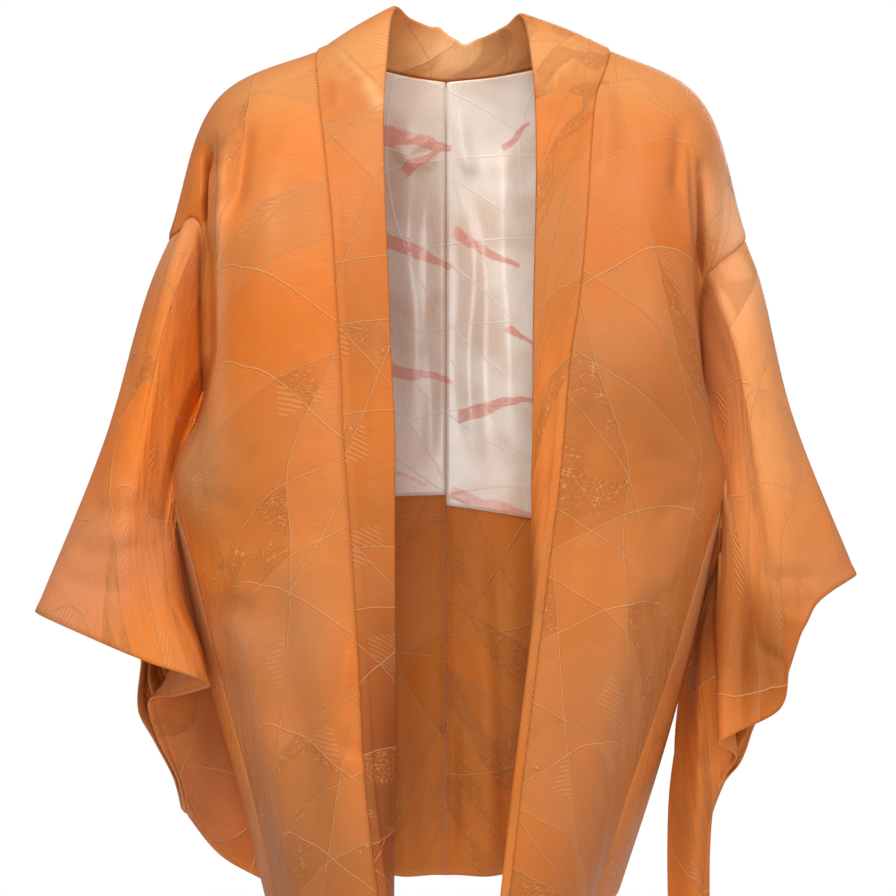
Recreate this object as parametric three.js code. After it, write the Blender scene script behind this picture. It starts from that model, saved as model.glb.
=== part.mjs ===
// A haori: a hip-length, open-front kimono jacket of figured silk, filled out as it is worn.
// Millimetres, +Z up, the front faces -Y and the wearer's left is at +X.
// The origin is inside the neck, level with the seam between collar and back.
import * as THREE from "three";

// Driving sizes
const BODY_CLOTH = 1.4;
const COLLAR_CLOTH = 1.0;
const LINING_CLOTH = 1.0;
const SEAM_GAP = 0.3;
const SLEEVE_INSET = SEAM_GAP + 0.8 * BODY_CLOTH;
const GUSSET_INSET = SEAM_GAP + 0.6 * BODY_CLOTH;
const COLLAR_INSET = SEAM_GAP + 0.8 * COLLAR_CLOTH;
const CENTRE_SEAM_X = -10;
const COLLAR_FOLD_RADIUS = 1.4;
const COLLAR_LEAF_LIFT = 2.1;
const COLLAR_LAP_FRONT = 4;
const COLLAR_LAP_BACK = 14;
const GUSSET_BULGE = 4;
const LINING_GAP = 0.8;
const LINING_NECK_INSET = 0.012;
const ARMHOLE_RUN = 10;
const ARMHOLE_PUFF_TOP = 1;
const ARMHOLE_PUFF_UNDERARM = 14;
const ARMHOLE_RISE_FRONT = 3;
const ARMHOLE_STEP_FRONT = 2;
const FURI_FIRST_STEP = 0.15;
// Places across a body panel where the way on past its side edge is read
const NEAR_SIDE = 0.96;
const NEARER_SIDE = 0.98;
// Place across a body panel just off its collar edge
const NEAR_COLLAR = 0.04;

// Resolution of the faceted cloth
const STEPS_ALONG = 2;
const BODY_STEPS_ACROSS = 9;
const SLEEVE_STEPS = 8;
const GUSSET_STEPS_ACROSS = 3;
const LINING_COLUMNS = 8;

// Sections of a body panel, from the front hem over the shoulder to the back hem.
// seam: the edge at the collar, and down the back at the centre seam
// crest: where the panel turns from facing forwards or backwards to facing sideways
// side: the edge at the gusset, and above the underarm at the sleeve
const BODY_RIGHT = [
  { seam: [-55, -93, -708], crest: [-124, -50, -710], side: [-150, 6, -712] },
  { seam: [-69, -101, -589], crest: [-143, -62, -595], side: [-172, -8, -603] },
  { seam: [-74, -107, -499], crest: [-163, -72, -502], side: [-196, -18, -508] },
  { seam: [-79, -112, -407], crest: [-184, -78, -408], side: [-219, -26, -411] },
  { seam: [-83, -117, -348], crest: [-222, -52, -347], side: [-236, -14, -345] },
  { seam: [-86, -118, -305], crest: [-206, -66, -305], side: [-214, -14, -280] },
  { seam: [-88, -118, -248], crest: [-190, -82, -245], side: [-212, -18, -230] },
  { seam: [-92, -114, -192], crest: [-188, -84, -201], side: [-212, -22, -189] },
  { seam: [-96, -102, -135], crest: [-188, -84, -144], side: [-212, -25, -148] },
  { seam: [-103, -80, -78], crest: [-187, -72, -92], side: [-220, -23, -129] },
  { seam: [-109, -48, -33], crest: [-187, -45, -56], side: [-231, -12, -138] },
  { seam: [-111, 0, 13], crest: [-194, 3, -22], side: [-242, 5, -144] },
  { seam: [-80, 44, 8], crest: [-186, 40, -34], side: [-237, 30, -150] },
  { seam: [-42, 62, 1], crest: [-182, 68, -58], side: [-230, 50, -175] },
  { seam: [CENTRE_SEAM_X, 67, -3], crest: [-178, 84, -98], side: [-226, 60, -212] },
  { seam: [CENTRE_SEAM_X, 84, -55], crest: [-174, 94, -150], side: [-226, 64, -255] },
  { seam: [CENTRE_SEAM_X, 97, -125], crest: [-172, 98, -210], side: [-229, 58, -300] },
  { seam: [CENTRE_SEAM_X, 101, -215], crest: [-176, 96, -280], side: [-237, 16, -346] },
  { seam: [CENTRE_SEAM_X, 99, -390], crest: [-178, 88, -400], side: [-232, 34, -410] },
  { seam: [CENTRE_SEAM_X, 97, -500], crest: [-164, 90, -502], side: [-216, 47, -504] },
  { seam: [CENTRE_SEAM_X, 99, -600], crest: [-143, 92, -600], side: [-191, 56, -600] },
  { seam: [CENTRE_SEAM_X, 102, -694], crest: [-122, 94, -695], side: [-166, 62, -698] },
];
const BODY_LEFT = [
  { seam: [32, -93, -708], crest: [89, -52, -710], side: [110, 6, -712] },
  { seam: [45, -101, -589], crest: [119, -64, -595], side: [143, -8, -603] },
  { seam: [56, -107, -499], crest: [147, -74, -502], side: [174, -18, -508] },
  { seam: [67, -112, -407], crest: [175, -80, -408], side: [202, -26, -411] },
  { seam: [74, -117, -348], crest: [214, -50, -348], side: [220, -14, -347] },
  { seam: [78, -118, -305], crest: [204, -66, -306], side: [205, -14, -288] },
  { seam: [83, -118, -248], crest: [190, -80, -247], side: [203, -18, -250] },
  { seam: [91, -114, -195], crest: [182, -84, -201], side: [201, -22, -214] },
  { seam: [97, -102, -135], crest: [177, -86, -146], side: [203, -26, -183] },
  { seam: [102, -80, -78], crest: [178, -72, -92], side: [213, -26, -169] },
  { seam: [108, -48, -33], crest: [184, -46, -54], side: [231, -13, -154] },
  { seam: [120, 0, 14], crest: [194, 3, -20], side: [241, 5, -144] },
  { seam: [80, 44, 8], crest: [186, 40, -32], side: [237, 30, -150] },
  { seam: [34, 62, 1], crest: [182, 68, -56], side: [230, 50, -175] },
  { seam: [CENTRE_SEAM_X, 67, -3], crest: [178, 84, -96], side: [226, 60, -212] },
  { seam: [CENTRE_SEAM_X, 84, -55], crest: [172, 94, -150], side: [224, 64, -255] },
  { seam: [CENTRE_SEAM_X, 97, -125], crest: [168, 98, -210], side: [224, 56, -300] },
  { seam: [CENTRE_SEAM_X, 101, -215], crest: [170, 96, -280], side: [222, 16, -348] },
  { seam: [CENTRE_SEAM_X, 99, -390], crest: [160, 88, -400], side: [215, 36, -410] },
  { seam: [CENTRE_SEAM_X, 97, -500], crest: [146, 90, -502], side: [197, 48, -504] },
  { seam: [CENTRE_SEAM_X, 99, -600], crest: [126, 92, -600], side: [171, 56, -600] },
  { seam: [CENTRE_SEAM_X, 102, -694], crest: [104, 94, -695], side: [140, 62, -698] },
];
const FRONT_HEM = 0;
const UNDERARM_FRONT = 4;
const SHOULDER = 11;
const NAPE = 14;
const UNDERARM_BACK = 17;
const BACK_HEM = 21;

// The deep folds of the hanging back, by section and by place across the panel
const BACK_FOLDS = [
  { across: 0.2, from: 17, to: 23, depth: -9, spread: 0.09 },
  { across: 0.42, from: 16.5, to: 23, depth: 12, spread: 0.1 },
  { across: 0.66, from: 17.5, to: 23, depth: -10, spread: 0.09 },
];

// The collar's fold edge beside each body section, from the front hem to the nape
const COLLAR_FOLD_RIGHT = [
  [-54, -56, -710], [-51, -80, -592], [-50, -98, -500], [-50, -112, -407],
  [-50, -118, -348], [-50, -119, -305], [-53, -120, -243], [-55, -116, -188],
  [-58, -102, -124], [-60, -78, -64], [-59, -36, -8], [-54, 8, 48],
  [-40, 34, 45], [-22, 50, 40], [-4, 56, 33],
];
const COLLAR_FOLD_LEFT = [
  [43, -44, -710], [54, -52, -597], [60, -76, -502], [58, -102, -407],
  [57, -116, -348], [58, -118, -305], [58, -120, -243], [59, -116, -192],
  [61, -102, -128], [62, -78, -65], [61, -36, -10], [54, 8, 42],
  [40, 32, 38], [18, 50, 31], [-4, 56, 33],
];

// A sleeve is a tube. Its guides run from the body to the hand, named by their place round it:
// 0 is the fold along the top of the arm, 1 to 14 the front layer down to the underarm, 15 to 18
// the front layer below it, 19 the bottom fold, and 20 to 35 the back layer up again.
// inner: the free edge below the underarm; above it the edge follows the body's armhole
const UNDERARM_PLACE_FRONT = 14;
const UNDERARM_PLACE_BACK = 24;
const SLEEVE_PLACES = 36;
const SLEEVE_RIGHT = [
  { place: 0, middle: [-297, 0, -322], cuff: [-351, 0, -456] },
  { place: 5, middle: [-270, -38, -345], cuff: [-308, -34, -471] },
  { place: 10, middle: [-258, -30, -390], cuff: [-255, -40, -493] },
  { place: 14, middle: [-226, -4, -432], cuff: [-204, -28, -514] },
  { place: 15, inner: [-248, 22, -368], middle: [-240, 30, -470], cuff: [-236, 10, -527] },
  { place: 16, inner: [-230, 62, -420], middle: [-238, 48, -515], cuff: [-262, 30, -533] },
  { place: 17, inner: [-216, 76, -505], middle: [-230, 56, -565], cuff: [-256, 40, -566] },
  { place: 18, inner: [-190, 88, -610], middle: [-214, 68, -630], cuff: [-240, 44, -600] },
  { place: 19, inner: [-165, 95, -700], middle: [-203, 78, -674], cuff: [-236, 52, -627] },
  { place: 20, inner: [-178, 101, -640], middle: [-215, 84, -635], cuff: [-244, 60, -602] },
  { place: 21, inner: [-198, 99, -560], middle: [-230, 84, -570], cuff: [-260, 60, -572] },
  { place: 22, inner: [-216, 93, -470], middle: [-247, 76, -490], cuff: [-274, 58, -545] },
  { place: 23, inner: [-238, 62, -390] },
  { place: 24, middle: [-258, 64, -420], cuff: [-272, 54, -496] },
  { place: 28, middle: [-276, 50, -368], cuff: [-310, 44, -470] },
  { place: 32, middle: [-289, 32, -338], cuff: [-337, 25, -458] },
];
const SLEEVE_LEFT = [
  { place: 0, middle: [278, 1, -292], cuff: [331, 0, -425] },
  { place: 5, middle: [250, -36, -325], cuff: [292, -26, -450] },
  { place: 10, middle: [238, -30, -382], cuff: [272, -28, -500] },
  { place: 12, cuff: [264, -25, -534] },
  { place: 14, middle: [220, 2, -440], cuff: [217, -22, -561] },
  { place: 15, inner: [236, 16, -372], middle: [217, 18, -480], cuff: [232, 8, -578] },
  { place: 16, inner: [214, 36, -430], middle: [208, 24, -520], cuff: [224, 24, -600] },
  { place: 17, inner: [200, 48, -505], middle: [203, 22, -565], cuff: [216, 30, -625] },
  { place: 18, inner: [181, 46, -610], middle: [202, 24, -645], cuff: [213, 34, -668] },
  { place: 19, inner: [180, 44, -722], middle: [202, 34, -724], cuff: [214, 40, -716] },
  { place: 20, inner: [186, 60, -660], middle: [206, 50, -690], cuff: [215, 46, -622] },
  { place: 21, inner: [190, 84, -560], middle: [218, 64, -590], cuff: [242, 52, -588] },
  { place: 22, inner: [206, 86, -470], middle: [232, 68, -480], cuff: [252, 52, -562] },
  { place: 23, inner: [224, 62, -390] },
  { place: 24, middle: [246, 60, -390], cuff: [268, 50, -525] },
  { place: 28, middle: [258, 50, -345], cuff: [286, 42, -470] },
  { place: 32, middle: [270, 32, -312], cuff: [312, 24, -434] },
];

// Lower edge of the back lining: its height at the centre seam, and its fall on the way
// to where it runs level
const LINING_EDGE_RIGHT = { height: -360, slope: -0.05, level: 60 };
const LINING_EDGE_LEFT = { height: -369, slope: -0.24, level: 80 };

const CLOTH = { color: 0xd9823f, roughness: 0.45, metalness: 0 };
const SHADED_CLOTH = { color: 0xc97a3c, roughness: 0.5, metalness: 0 };
const LINING = { color: 0xd9cfc4, roughness: 0.35, metalness: 0 };

const vector = ([x, y, z]) => new THREE.Vector3(x, y, z);
const between = (a, b, amount) => a.clone().lerp(b, amount);

// Hermite curve between two points, with the slopes at both ends
function hermite(start, startSlope, end, endSlope, u) {
  const u2 = u * u;
  const u3 = u2 * u;
  return start.clone().multiplyScalar(2 * u3 - 3 * u2 + 1)
    .addScaledVector(startSlope, u3 - 2 * u2 + u)
    .addScaledVector(end, 3 * u2 - 2 * u3)
    .addScaledVector(endSlope, u3 - u2);
}

// Smooth curve through points, at a place counted in points
function through(points, place) {
  const last = points.length - 1;
  const i = Math.min(Math.max(Math.floor(place), 0), last - 1);
  const before = points[Math.max(i - 1, 0)];
  const after = points[Math.min(i + 2, last)];
  const startSlope = points[i + 1].clone().sub(before).multiplyScalar(i > 0 ? 0.5 : 1);
  const endSlope = after.clone().sub(points[i]).multiplyScalar(i + 2 <= last ? 0.5 : 1);
  return hermite(points[i], startSlope, points[i + 1], endSlope, place - i);
}

// Slope of a smooth curve at its middle point of three, for a unit of length
function bend(before, point, after) {
  const a = point.distanceTo(before);
  const b = after.distanceTo(point);
  return point.clone().sub(before).multiplyScalar(b / (a * (a + b)))
    .add(after.clone().sub(point).multiplyScalar(a / (b * (a + b))));
}

// Smooth curve through unevenly spaced points, at a fraction of its length
function alongLine(points, fraction) {
  const lengths = points.slice(1).map((point, i) => point.distanceTo(points[i]));
  let distance = fraction * lengths.reduce((sum, length) => sum + length, 0);
  let i = 0;
  while (i < lengths.length - 1 && distance > lengths[i]) {
    distance -= lengths[i];
    i += 1;
  }
  const start = points[i];
  const end = points[i + 1];
  const straight = end.clone().sub(start).divideScalar(lengths[i]);
  const startSlope = i > 0 ? bend(points[i - 1], start, end) : straight.clone();
  const endSlope = i + 2 < points.length ? bend(start, end, points[i + 2]) : straight.clone();
  return hermite(start, startSlope.multiplyScalar(lengths[i]), end,
    endSlope.multiplyScalar(lengths[i]), distance / lengths[i]);
}

// Curve across a body panel: it leaves the seam square to the front, rounds the crest
// and ends at the side; lean is how far it goes back as it falls, as the seam itself does
function acrossPanel(seam, crest, side, lean, amount) {
  const toCrest = crest.clone().sub(seam);
  const toSide = side.clone().sub(crest);
  const a = toCrest.length();
  const b = toSide.length();
  const square = new THREE.Vector3(toCrest.x, toCrest.z * lean, toCrest.z)
    .normalize().multiplyScalar(a);
  const turn = bend(seam, crest, side);
  const distance = amount * (a + b);
  return distance <= a
    ? hermite(seam, square, crest, turn.clone().multiplyScalar(a), distance / a)
    : hermite(crest, turn.clone().multiplyScalar(b), side, toSide, (distance - a) / b);
}

// One side of the body as a smooth surface over (section, place across)
function bodySurface(sections, seamShift) {
  const line = (name) => sections.map((section) => vector(section[name]));
  const seams = line("seam");
  seams.slice(NAPE).forEach((point) => {
    point.x += seamShift;
  });
  const crests = line("crest");
  const sides = line("side");
  const neckline = seams.slice(0, NAPE + 1);
  const centreSeam = seams.slice(NAPE);
  const seamAt = (section) => (section <= NAPE
    ? through(neckline, section)
    : through(centreSeam, section - NAPE));
  const leanAt = (section) => {
    const place = Math.min(Math.max(section, NAPE), BACK_HEM - 0.1);
    const along = seamAt(place + 0.1).sub(seamAt(place));
    return (along.y / along.z) * THREE.MathUtils.smoothstep(section, SHOULDER, NAPE);
  };
  const plain = (section, across) => acrossPanel(seamAt(section), through(crests, section),
    through(sides, section), leanAt(section), across);
  const normalOf = (surface, section, across) => {
    const step = 0.02;
    const inside = Math.min(Math.max(section, step), BACK_HEM - step);
    const t = Math.min(Math.max(across, step), 1 - step);
    const along = surface(inside + step, t).sub(surface(inside - step, t));
    const over = surface(inside, t + step).sub(surface(inside, t - step));
    return over.cross(along).multiplyScalar(seamShift < 0 ? -1 : 1).normalize();
  };
  const folded = (section, across) => {
    const point = plain(section, across);
    let push = 0;
    for (const fold of BACK_FOLDS) {
      const ease = THREE.MathUtils.smoothstep(section, fold.from, (fold.from + fold.to) / 2);
      push += fold.depth * ease * Math.exp(-(((across - fold.across) / fold.spread) ** 2));
    }
    return push === 0 ? point : point.addScaledVector(normalOf(plain, section, across), push);
  };
  return { at: folded, normal: (section, across) => normalOf(folded, section, across) };
}

// Unit normals of a grid of points, from its neighbours along both ways
function gridNormals(grid, closed) {
  const rows = grid.length;
  const columns = grid[0].length;
  return grid.map((row, r) => row.map((point, c) => {
    const up = grid[Math.min(r + 1, rows - 1)][c];
    const down = grid[Math.max(r - 1, 0)][c];
    const next = closed ? (c + 1) % columns : Math.min(c + 1, columns - 1);
    const previous = closed ? (c + columns - 1) % columns : Math.max(c - 1, 0);
    const along = up.clone().sub(down);
    const over = row[next].clone().sub(row[previous]);
    return over.cross(along).normalize();
  }));
}

// A closed wall of even thickness on a grid of points; a closed grid joins its last column
// to its first, as a tube does
function wall(grid, thickness, closed = false) {
  const rows = grid.length;
  const columns = grid[0].length;
  const normals = gridNormals(grid, closed);
  const positions = [];
  const skin = (offset) => grid.forEach((row, r) => row.forEach((point, c) => {
    positions.push(...point.clone().addScaledVector(normals[r][c], offset).toArray());
  }));
  skin(thickness / 2);
  skin(-thickness / 2);
  const outer = (r, c) => r * columns + (c % columns);
  const inner = (r, c) => rows * columns + outer(r, c);
  const faces = [];
  const quad = (a, b, c, d) => faces.push(a, b, c, a, c, d);
  const spans = closed ? columns : columns - 1;
  for (let r = 0; r < rows - 1; r += 1) {
    for (let c = 0; c < spans; c += 1) {
      quad(outer(r, c), outer(r, c + 1), outer(r + 1, c + 1), outer(r + 1, c));
      quad(inner(r, c), inner(r + 1, c), inner(r + 1, c + 1), inner(r, c + 1));
    }
  }
  for (let c = 0; c < spans; c += 1) {
    quad(outer(0, c), inner(0, c), inner(0, c + 1), outer(0, c + 1));
    quad(outer(rows - 1, c), outer(rows - 1, c + 1), inner(rows - 1, c + 1), inner(rows - 1, c));
  }
  for (let r = 0; !closed && r < rows - 1; r += 1) {
    quad(outer(r, 0), outer(r + 1, 0), inner(r + 1, 0), inner(r, 0));
    const e = columns - 1;
    quad(outer(r, e), inner(r, e), inner(r + 1, e), outer(r + 1, e));
  }
  const geometry = new THREE.BufferGeometry();
  geometry.setAttribute("position", new THREE.Float32BufferAttribute(positions, 3));
  geometry.setIndex(faces);
  geometry.computeVertexNormals();
  return geometry;
}

function node(name, geometry, finish) {
  const mesh = new THREE.Mesh(geometry, new THREE.MeshStandardMaterial(finish));
  mesh.name = name;
  return mesh;
}

const range = (from, to, steps) => Array.from(
  { length: steps + 1 }, (_, i) => from + ((to - from) * i) / steps);

// Front and back of one side, in one length over the shoulder, as a grid of points
function bodyGrid(surface) {
  const sections = range(FRONT_HEM, BACK_HEM, BACK_HEM * STEPS_ALONG);
  return sections.map((section) => range(0, 1, BODY_STEPS_ACROSS)
    .map((across) => surface.at(section, across)));
}

// Long triangle between the side edges of front and back, from underarm to hem
function gusset(surface, outwards) {
  const steps = UNDERARM_FRONT * STEPS_ALONG;
  const grid = range(0, 1, steps).map((amount) => {
    const front = surface.at(UNDERARM_FRONT * (1 - amount), 1);
    const back = surface.at(UNDERARM_BACK + (BACK_HEM - UNDERARM_BACK) * amount, 1);
    const trim = GUSSET_INSET / front.distanceTo(back);
    return range(trim, 1 - trim, GUSSET_STEPS_ACROSS).map((across) => {
      const point = between(front, back, across);
      point.x += outwards * GUSSET_BULGE * 4 * across * (1 - across);
      return point;
    });
  });
  return wall(grid, BODY_CLOTH);
}

// Point of a sleeve's guide table at any place round the tube
function roundSleeve(guides, name, place, closed) {
  const known = guides.filter((guide) => guide[name]);
  const rows = closed
    ? [...known, { ...known[0], place: SLEEVE_PLACES }]
    : known;
  let i = rows.findIndex((row) => row.place > place) - 1;
  i = i < 0 ? rows.length - 2 : i;
  const wrap = (k, turn) => ({ ...rows[k], place: rows[k].place + turn });
  const edge = rows.length - 1;
  const before = i > 0 ? rows[i - 1] : closed ? wrap(edge - 1, -SLEEVE_PLACES) : rows[i];
  const after = i + 2 <= edge ? rows[i + 2] : closed ? wrap(1, SLEEVE_PLACES) : rows[i + 1];
  const start = rows[i];
  const end = rows[i + 1];
  const span = end.place - start.place;
  const slope = (a, b) => vector(b[name]).sub(vector(a[name]))
    .multiplyScalar(span / (b.place - a.place));
  return hermite(vector(start[name]), slope(before, end), vector(end[name]),
    slope(start, after), (place - start.place) / span);
}

// The body section beside a place of the sleeve's sewn edge
function armholeSection(place) {
  const back = (SLEEVE_PLACES - place) / (SLEEVE_PLACES - UNDERARM_PLACE_BACK);
  return place <= UNDERARM_PLACE_FRONT
    ? SHOULDER - (place / UNDERARM_PLACE_FRONT) * (SHOULDER - UNDERARM_FRONT)
    : SHOULDER + back * (UNDERARM_BACK - SHOULDER);
}

const isSewn = (place) => place <= UNDERARM_PLACE_FRONT || place >= UNDERARM_PLACE_BACK;

// Next point of a sleeve line after its edge: a sewn edge goes on as the body panel does,
// and puffs out the more the nearer it is to the underarm
function leaveArmhole(surface, place, edge, middle) {
  if (!isSewn(place)) return between(edge, middle, FURI_FIRST_STEP);
  const section = armholeSection(place);
  const onwards = edge.clone().sub(surface.at(section, NEAR_SIDE)).normalize();
  const toUnderarm = place <= UNDERARM_PLACE_FRONT
    ? place / UNDERARM_PLACE_FRONT
    : (SLEEVE_PLACES - place) / (SLEEVE_PLACES - UNDERARM_PLACE_BACK);
  const puff = THREE.MathUtils.lerp(ARMHOLE_PUFF_TOP, ARMHOLE_PUFF_UNDERARM, toUnderarm);
  const run = ARMHOLE_RUN * (1 - 0.5 * toUnderarm);
  const puffed = edge.clone().addScaledVector(onwards, run)
    .addScaledVector(surface.normal(section, NEARER_SIDE), puff);
  if (place > UNDERARM_PLACE_FRONT) return puffed;
  // In front the seam lies at the bottom of a deep fold, and the sleeve rises out of it
  const risen = edge.clone().addScaledVector(middle.clone().sub(edge).normalize(), ARMHOLE_RUN);
  risen.x += Math.sign(edge.x) * ARMHOLE_STEP_FRONT * Math.sqrt(Math.sin(Math.PI * toUnderarm));
  risen.y -= ARMHOLE_RISE_FRONT * Math.sin(Math.PI * toUnderarm);
  return risen.lerp(puffed, THREE.MathUtils.smoothstep(toUnderarm, 0.65, 1));
}

// The sleeve's edge at the body: the armhole above the underarm, the free edge below it
function sleeveEdge(surface, guides, place) {
  if (isSewn(place)) return surface.at(armholeSection(place), 1);
  const ends = [
    { place: UNDERARM_PLACE_FRONT, inner: surface.at(UNDERARM_FRONT, 1).toArray() },
    ...guides.filter((guide) => guide.inner),
    { place: UNDERARM_PLACE_BACK, inner: surface.at(UNDERARM_BACK, 1).toArray() },
  ];
  return roundSleeve(ends, "inner", place, false);
}

// Sleeve: one length folded at the top of the arm, open at the hand and below the underarm
function sleeve(surface, guides, mirrored) {
  const places = Array.from({ length: SLEEVE_PLACES }, (_, i) => i);
  const lines = places.map((place) => {
    const edge = sleeveEdge(surface, guides, place);
    const middle = roundSleeve(guides, "middle", place, true);
    const cuff = roundSleeve(guides, "cuff", place, true);
    const near = leaveArmhole(surface, place, edge, middle);
    if (place <= UNDERARM_PLACE_FRONT) {
      const swell = Math.sqrt(Math.sin((Math.PI * place) / UNDERARM_PLACE_FRONT));
      edge.x += Math.sign(edge.x) * ARMHOLE_STEP_FRONT * swell;
    }
    const line = [edge, near, middle, cuff];
    const trim = SLEEVE_INSET / edge.distanceTo(cuff);
    return range(trim, 1, SLEEVE_STEPS).map((v) => alongLine(line, v));
  });
  if (mirrored) lines.reverse();
  const grid = range(0, SLEEVE_STEPS, SLEEVE_STEPS).map((v) => lines.map((line) => line[v]));
  return wall(grid, BODY_CLOTH, true);
}

// One cross-section of the collar: from the seam to the fold edge, and back over the outside
// to its free edge on the body
function collarSection(surface, folds, section, outwards, tangent) {
  const seam = surface.at(section, 0);
  const normal = surface.normal(section, 0);
  const over = surface.at(section, NEAR_COLLAR).sub(seam).normalize();
  const fold = through(folds.map(vector), section);
  const band = fold.clone().sub(seam).normalize();
  const face = band.clone().cross(tangent).multiplyScalar(outwards).normalize();
  const lapBack = THREE.MathUtils.smoothstep(section, SHOULDER, NAPE);
  const lap = COLLAR_LAP_FRONT + (COLLAR_LAP_BACK - COLLAR_LAP_FRONT) * lapBack;
  const at = (amount, lift) => between(seam, fold, amount).addScaledVector(face, lift);
  const turn = COLLAR_FOLD_RADIUS;
  const turnRoom = 2 * turn;
  return [
    seam.clone().addScaledVector(over, -COLLAR_INSET),
    at(0.5, -turn),
    fold.clone().addScaledVector(band, -turn).addScaledVector(face, -turn),
    fold.clone(),
    fold.clone().addScaledVector(band, -turn).addScaledVector(face, turn),
    at(0.5, COLLAR_LEAF_LIFT),
    seam.clone().addScaledVector(normal, COLLAR_LEAF_LIFT).addScaledVector(over, -turnRoom),
    seam.clone().addScaledVector(normal, COLLAR_LEAF_LIFT).addScaledVector(over, lap),
  ];
}

// Collar: a long band folded outwards in half, from hem to hem round the neck
function collar(right, left) {
  const sections = range(FRONT_HEM, NAPE, NAPE * STEPS_ALONG);
  const half = (surface, folds, outwards) => sections.map((section) => {
    const step = 0.1;
    const from = Math.max(section - step, FRONT_HEM);
    const to = Math.min(section + step, NAPE);
    const tangent = surface.at(to, 0).sub(surface.at(from, 0)).normalize();
    return collarSection(surface, folds, section, outwards, tangent);
  });
  const rightHalf = half(right, COLLAR_FOLD_RIGHT, 1);
  const leftHalf = half(left, COLLAR_FOLD_LEFT, -1).reverse();
  const nape = rightHalf.pop().map((point, i) => between(point, leftHalf[0][i], 0.5));
  return wall([...rightHalf, nape, ...leftHalf.slice(1)], COLLAR_CLOTH);
}

// Back lining of one side, on the inner face of the back, made from the back's own points
function lining(grid, edge, inwardsSign) {
  const drop = (BODY_CLOTH / 2 + LINING_GAP + LINING_CLOTH / 2) * inwardsSign;
  const normals = gridNormals(grid, false);
  const inwards = grid.map((row, r) => row.map((point, c) => point.clone()
    .addScaledVector(normals[r][c], drop)));
  const rowOf = (section) => section * STEPS_ALONG;
  const top = rowOf(SHOULDER + 1);
  const lastWhole = rowOf(UNDERARM_BACK);
  const whole = inwards.slice(top, lastWhole + 1).map((row, r) => {
    const columns = row.slice(0, LINING_COLUMNS);
    if (top + r < rowOf(NAPE)) columns[0] = between(row[0], row[1], LINING_NECK_INSET * BODY_STEPS_ACROSS);
    return columns;
  });
  const cut = (share) => whole[whole.length - 1].map((start, c) => {
    const line = inwards.slice(lastWhole).map((row) => row[c]);
    const distance = Math.min(Math.abs(start.x - CENTRE_SEAM_X), edge.level);
    const height = start.z + share * (edge.height + edge.slope * distance - start.z);
    const next = line.findIndex((point) => point.z < height);
    const above = line[next - 1];
    return between(above, line[next], (above.z - height) / (above.z - line[next].z));
  });
  return wall([...whole, cut(0.5), cut(1)], LINING_CLOTH);
}

const right = bodySurface(BODY_RIGHT, -SEAM_GAP);
const left = bodySurface(BODY_LEFT, SEAM_GAP);

const rightGrid = bodyGrid(right);
const leftGrid = bodyGrid(left);

const haori = new THREE.Group();
haori.add(
  node("body_right", wall(rightGrid, BODY_CLOTH), CLOTH),
  node("body_left", wall(leftGrid, BODY_CLOTH), CLOTH),
  node("sleeve_right", sleeve(right, SLEEVE_RIGHT, false), CLOTH),
  node("sleeve_left", sleeve(left, SLEEVE_LEFT, true), CLOTH),
  node("gusset_right", gusset(right, -1), SHADED_CLOTH),
  node("gusset_left", gusset(left, 1), SHADED_CLOTH),
  node("collar", collar(right, left), CLOTH),
  node("lining_right", lining(rightGrid, LINING_EDGE_RIGHT, 1), LINING),
  node("lining_left", lining(leftGrid, LINING_EDGE_LEFT, -1), LINING),
);

export default haori;
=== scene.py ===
import math

import bmesh
import bpy
import numpy as np
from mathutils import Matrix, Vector


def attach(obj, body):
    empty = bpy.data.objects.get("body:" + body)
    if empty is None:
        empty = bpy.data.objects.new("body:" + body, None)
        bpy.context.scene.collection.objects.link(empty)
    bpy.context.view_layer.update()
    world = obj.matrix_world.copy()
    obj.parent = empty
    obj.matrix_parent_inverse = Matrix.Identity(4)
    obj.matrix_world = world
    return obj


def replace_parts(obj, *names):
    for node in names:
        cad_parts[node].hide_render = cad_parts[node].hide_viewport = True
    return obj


# A haori, the hip-length open-front kimono jacket, in dyed figured silk, filled out as worn.
# Tables are in millimetres, and meshes in metres. The front faces -Y and +Z is up.

MM = 0.001
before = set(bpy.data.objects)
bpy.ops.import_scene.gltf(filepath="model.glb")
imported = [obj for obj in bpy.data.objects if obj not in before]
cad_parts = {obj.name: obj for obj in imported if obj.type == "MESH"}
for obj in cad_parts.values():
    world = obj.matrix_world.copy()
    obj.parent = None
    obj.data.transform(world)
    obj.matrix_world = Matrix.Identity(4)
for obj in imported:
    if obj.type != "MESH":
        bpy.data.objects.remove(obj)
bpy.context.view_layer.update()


# ---------------------------------------------------------------------------------------------
# Camera, floor and light: a level lens in front of the jacket, a plain pale floor under it, and
# large soft lamps. The world is white to the eye and dimmer as a light, so folds keep shade.

CAMERA_PLACE = (-0.0083, -1.85, -0.319)
LENS = 89.24
FLOOR_HEIGHT = -1.42
FLOOR_SIZE = 7.0
WHITE = (1.0, 1.0, 1.0, 1.0)
ROOM_LIGHT = 0.34


def linear(hex_colour):
    """sRGB hex to linear colour with alpha."""
    parts = [int(hex_colour[i:i + 2], 16) / 255 for i in (1, 3, 5)]
    return tuple(c / 12.92 if c <= 0.04045 else ((c + 0.055) / 1.055) ** 2.4
                 for c in parts) + (1.0,)


def add(tree, kind, inputs=(), **settings):
    """A node with its settings, and its inputs given as values or as sockets to link."""
    made = tree.nodes.new(kind)
    for name, value in settings.items():
        setattr(made, name, value)
    for name, value in dict(inputs).items():
        socket = made.inputs[name]
        if isinstance(value, bpy.types.NodeSocket):
            tree.links.new(value, socket)
        else:
            socket.default_value = value
    return made


def new_material(name):
    """A material, its node tree and its shader."""
    made = bpy.data.materials.new(name)
    made.use_nodes = True
    return made, made.node_tree, made.node_tree.nodes["Principled BSDF"]


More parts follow.
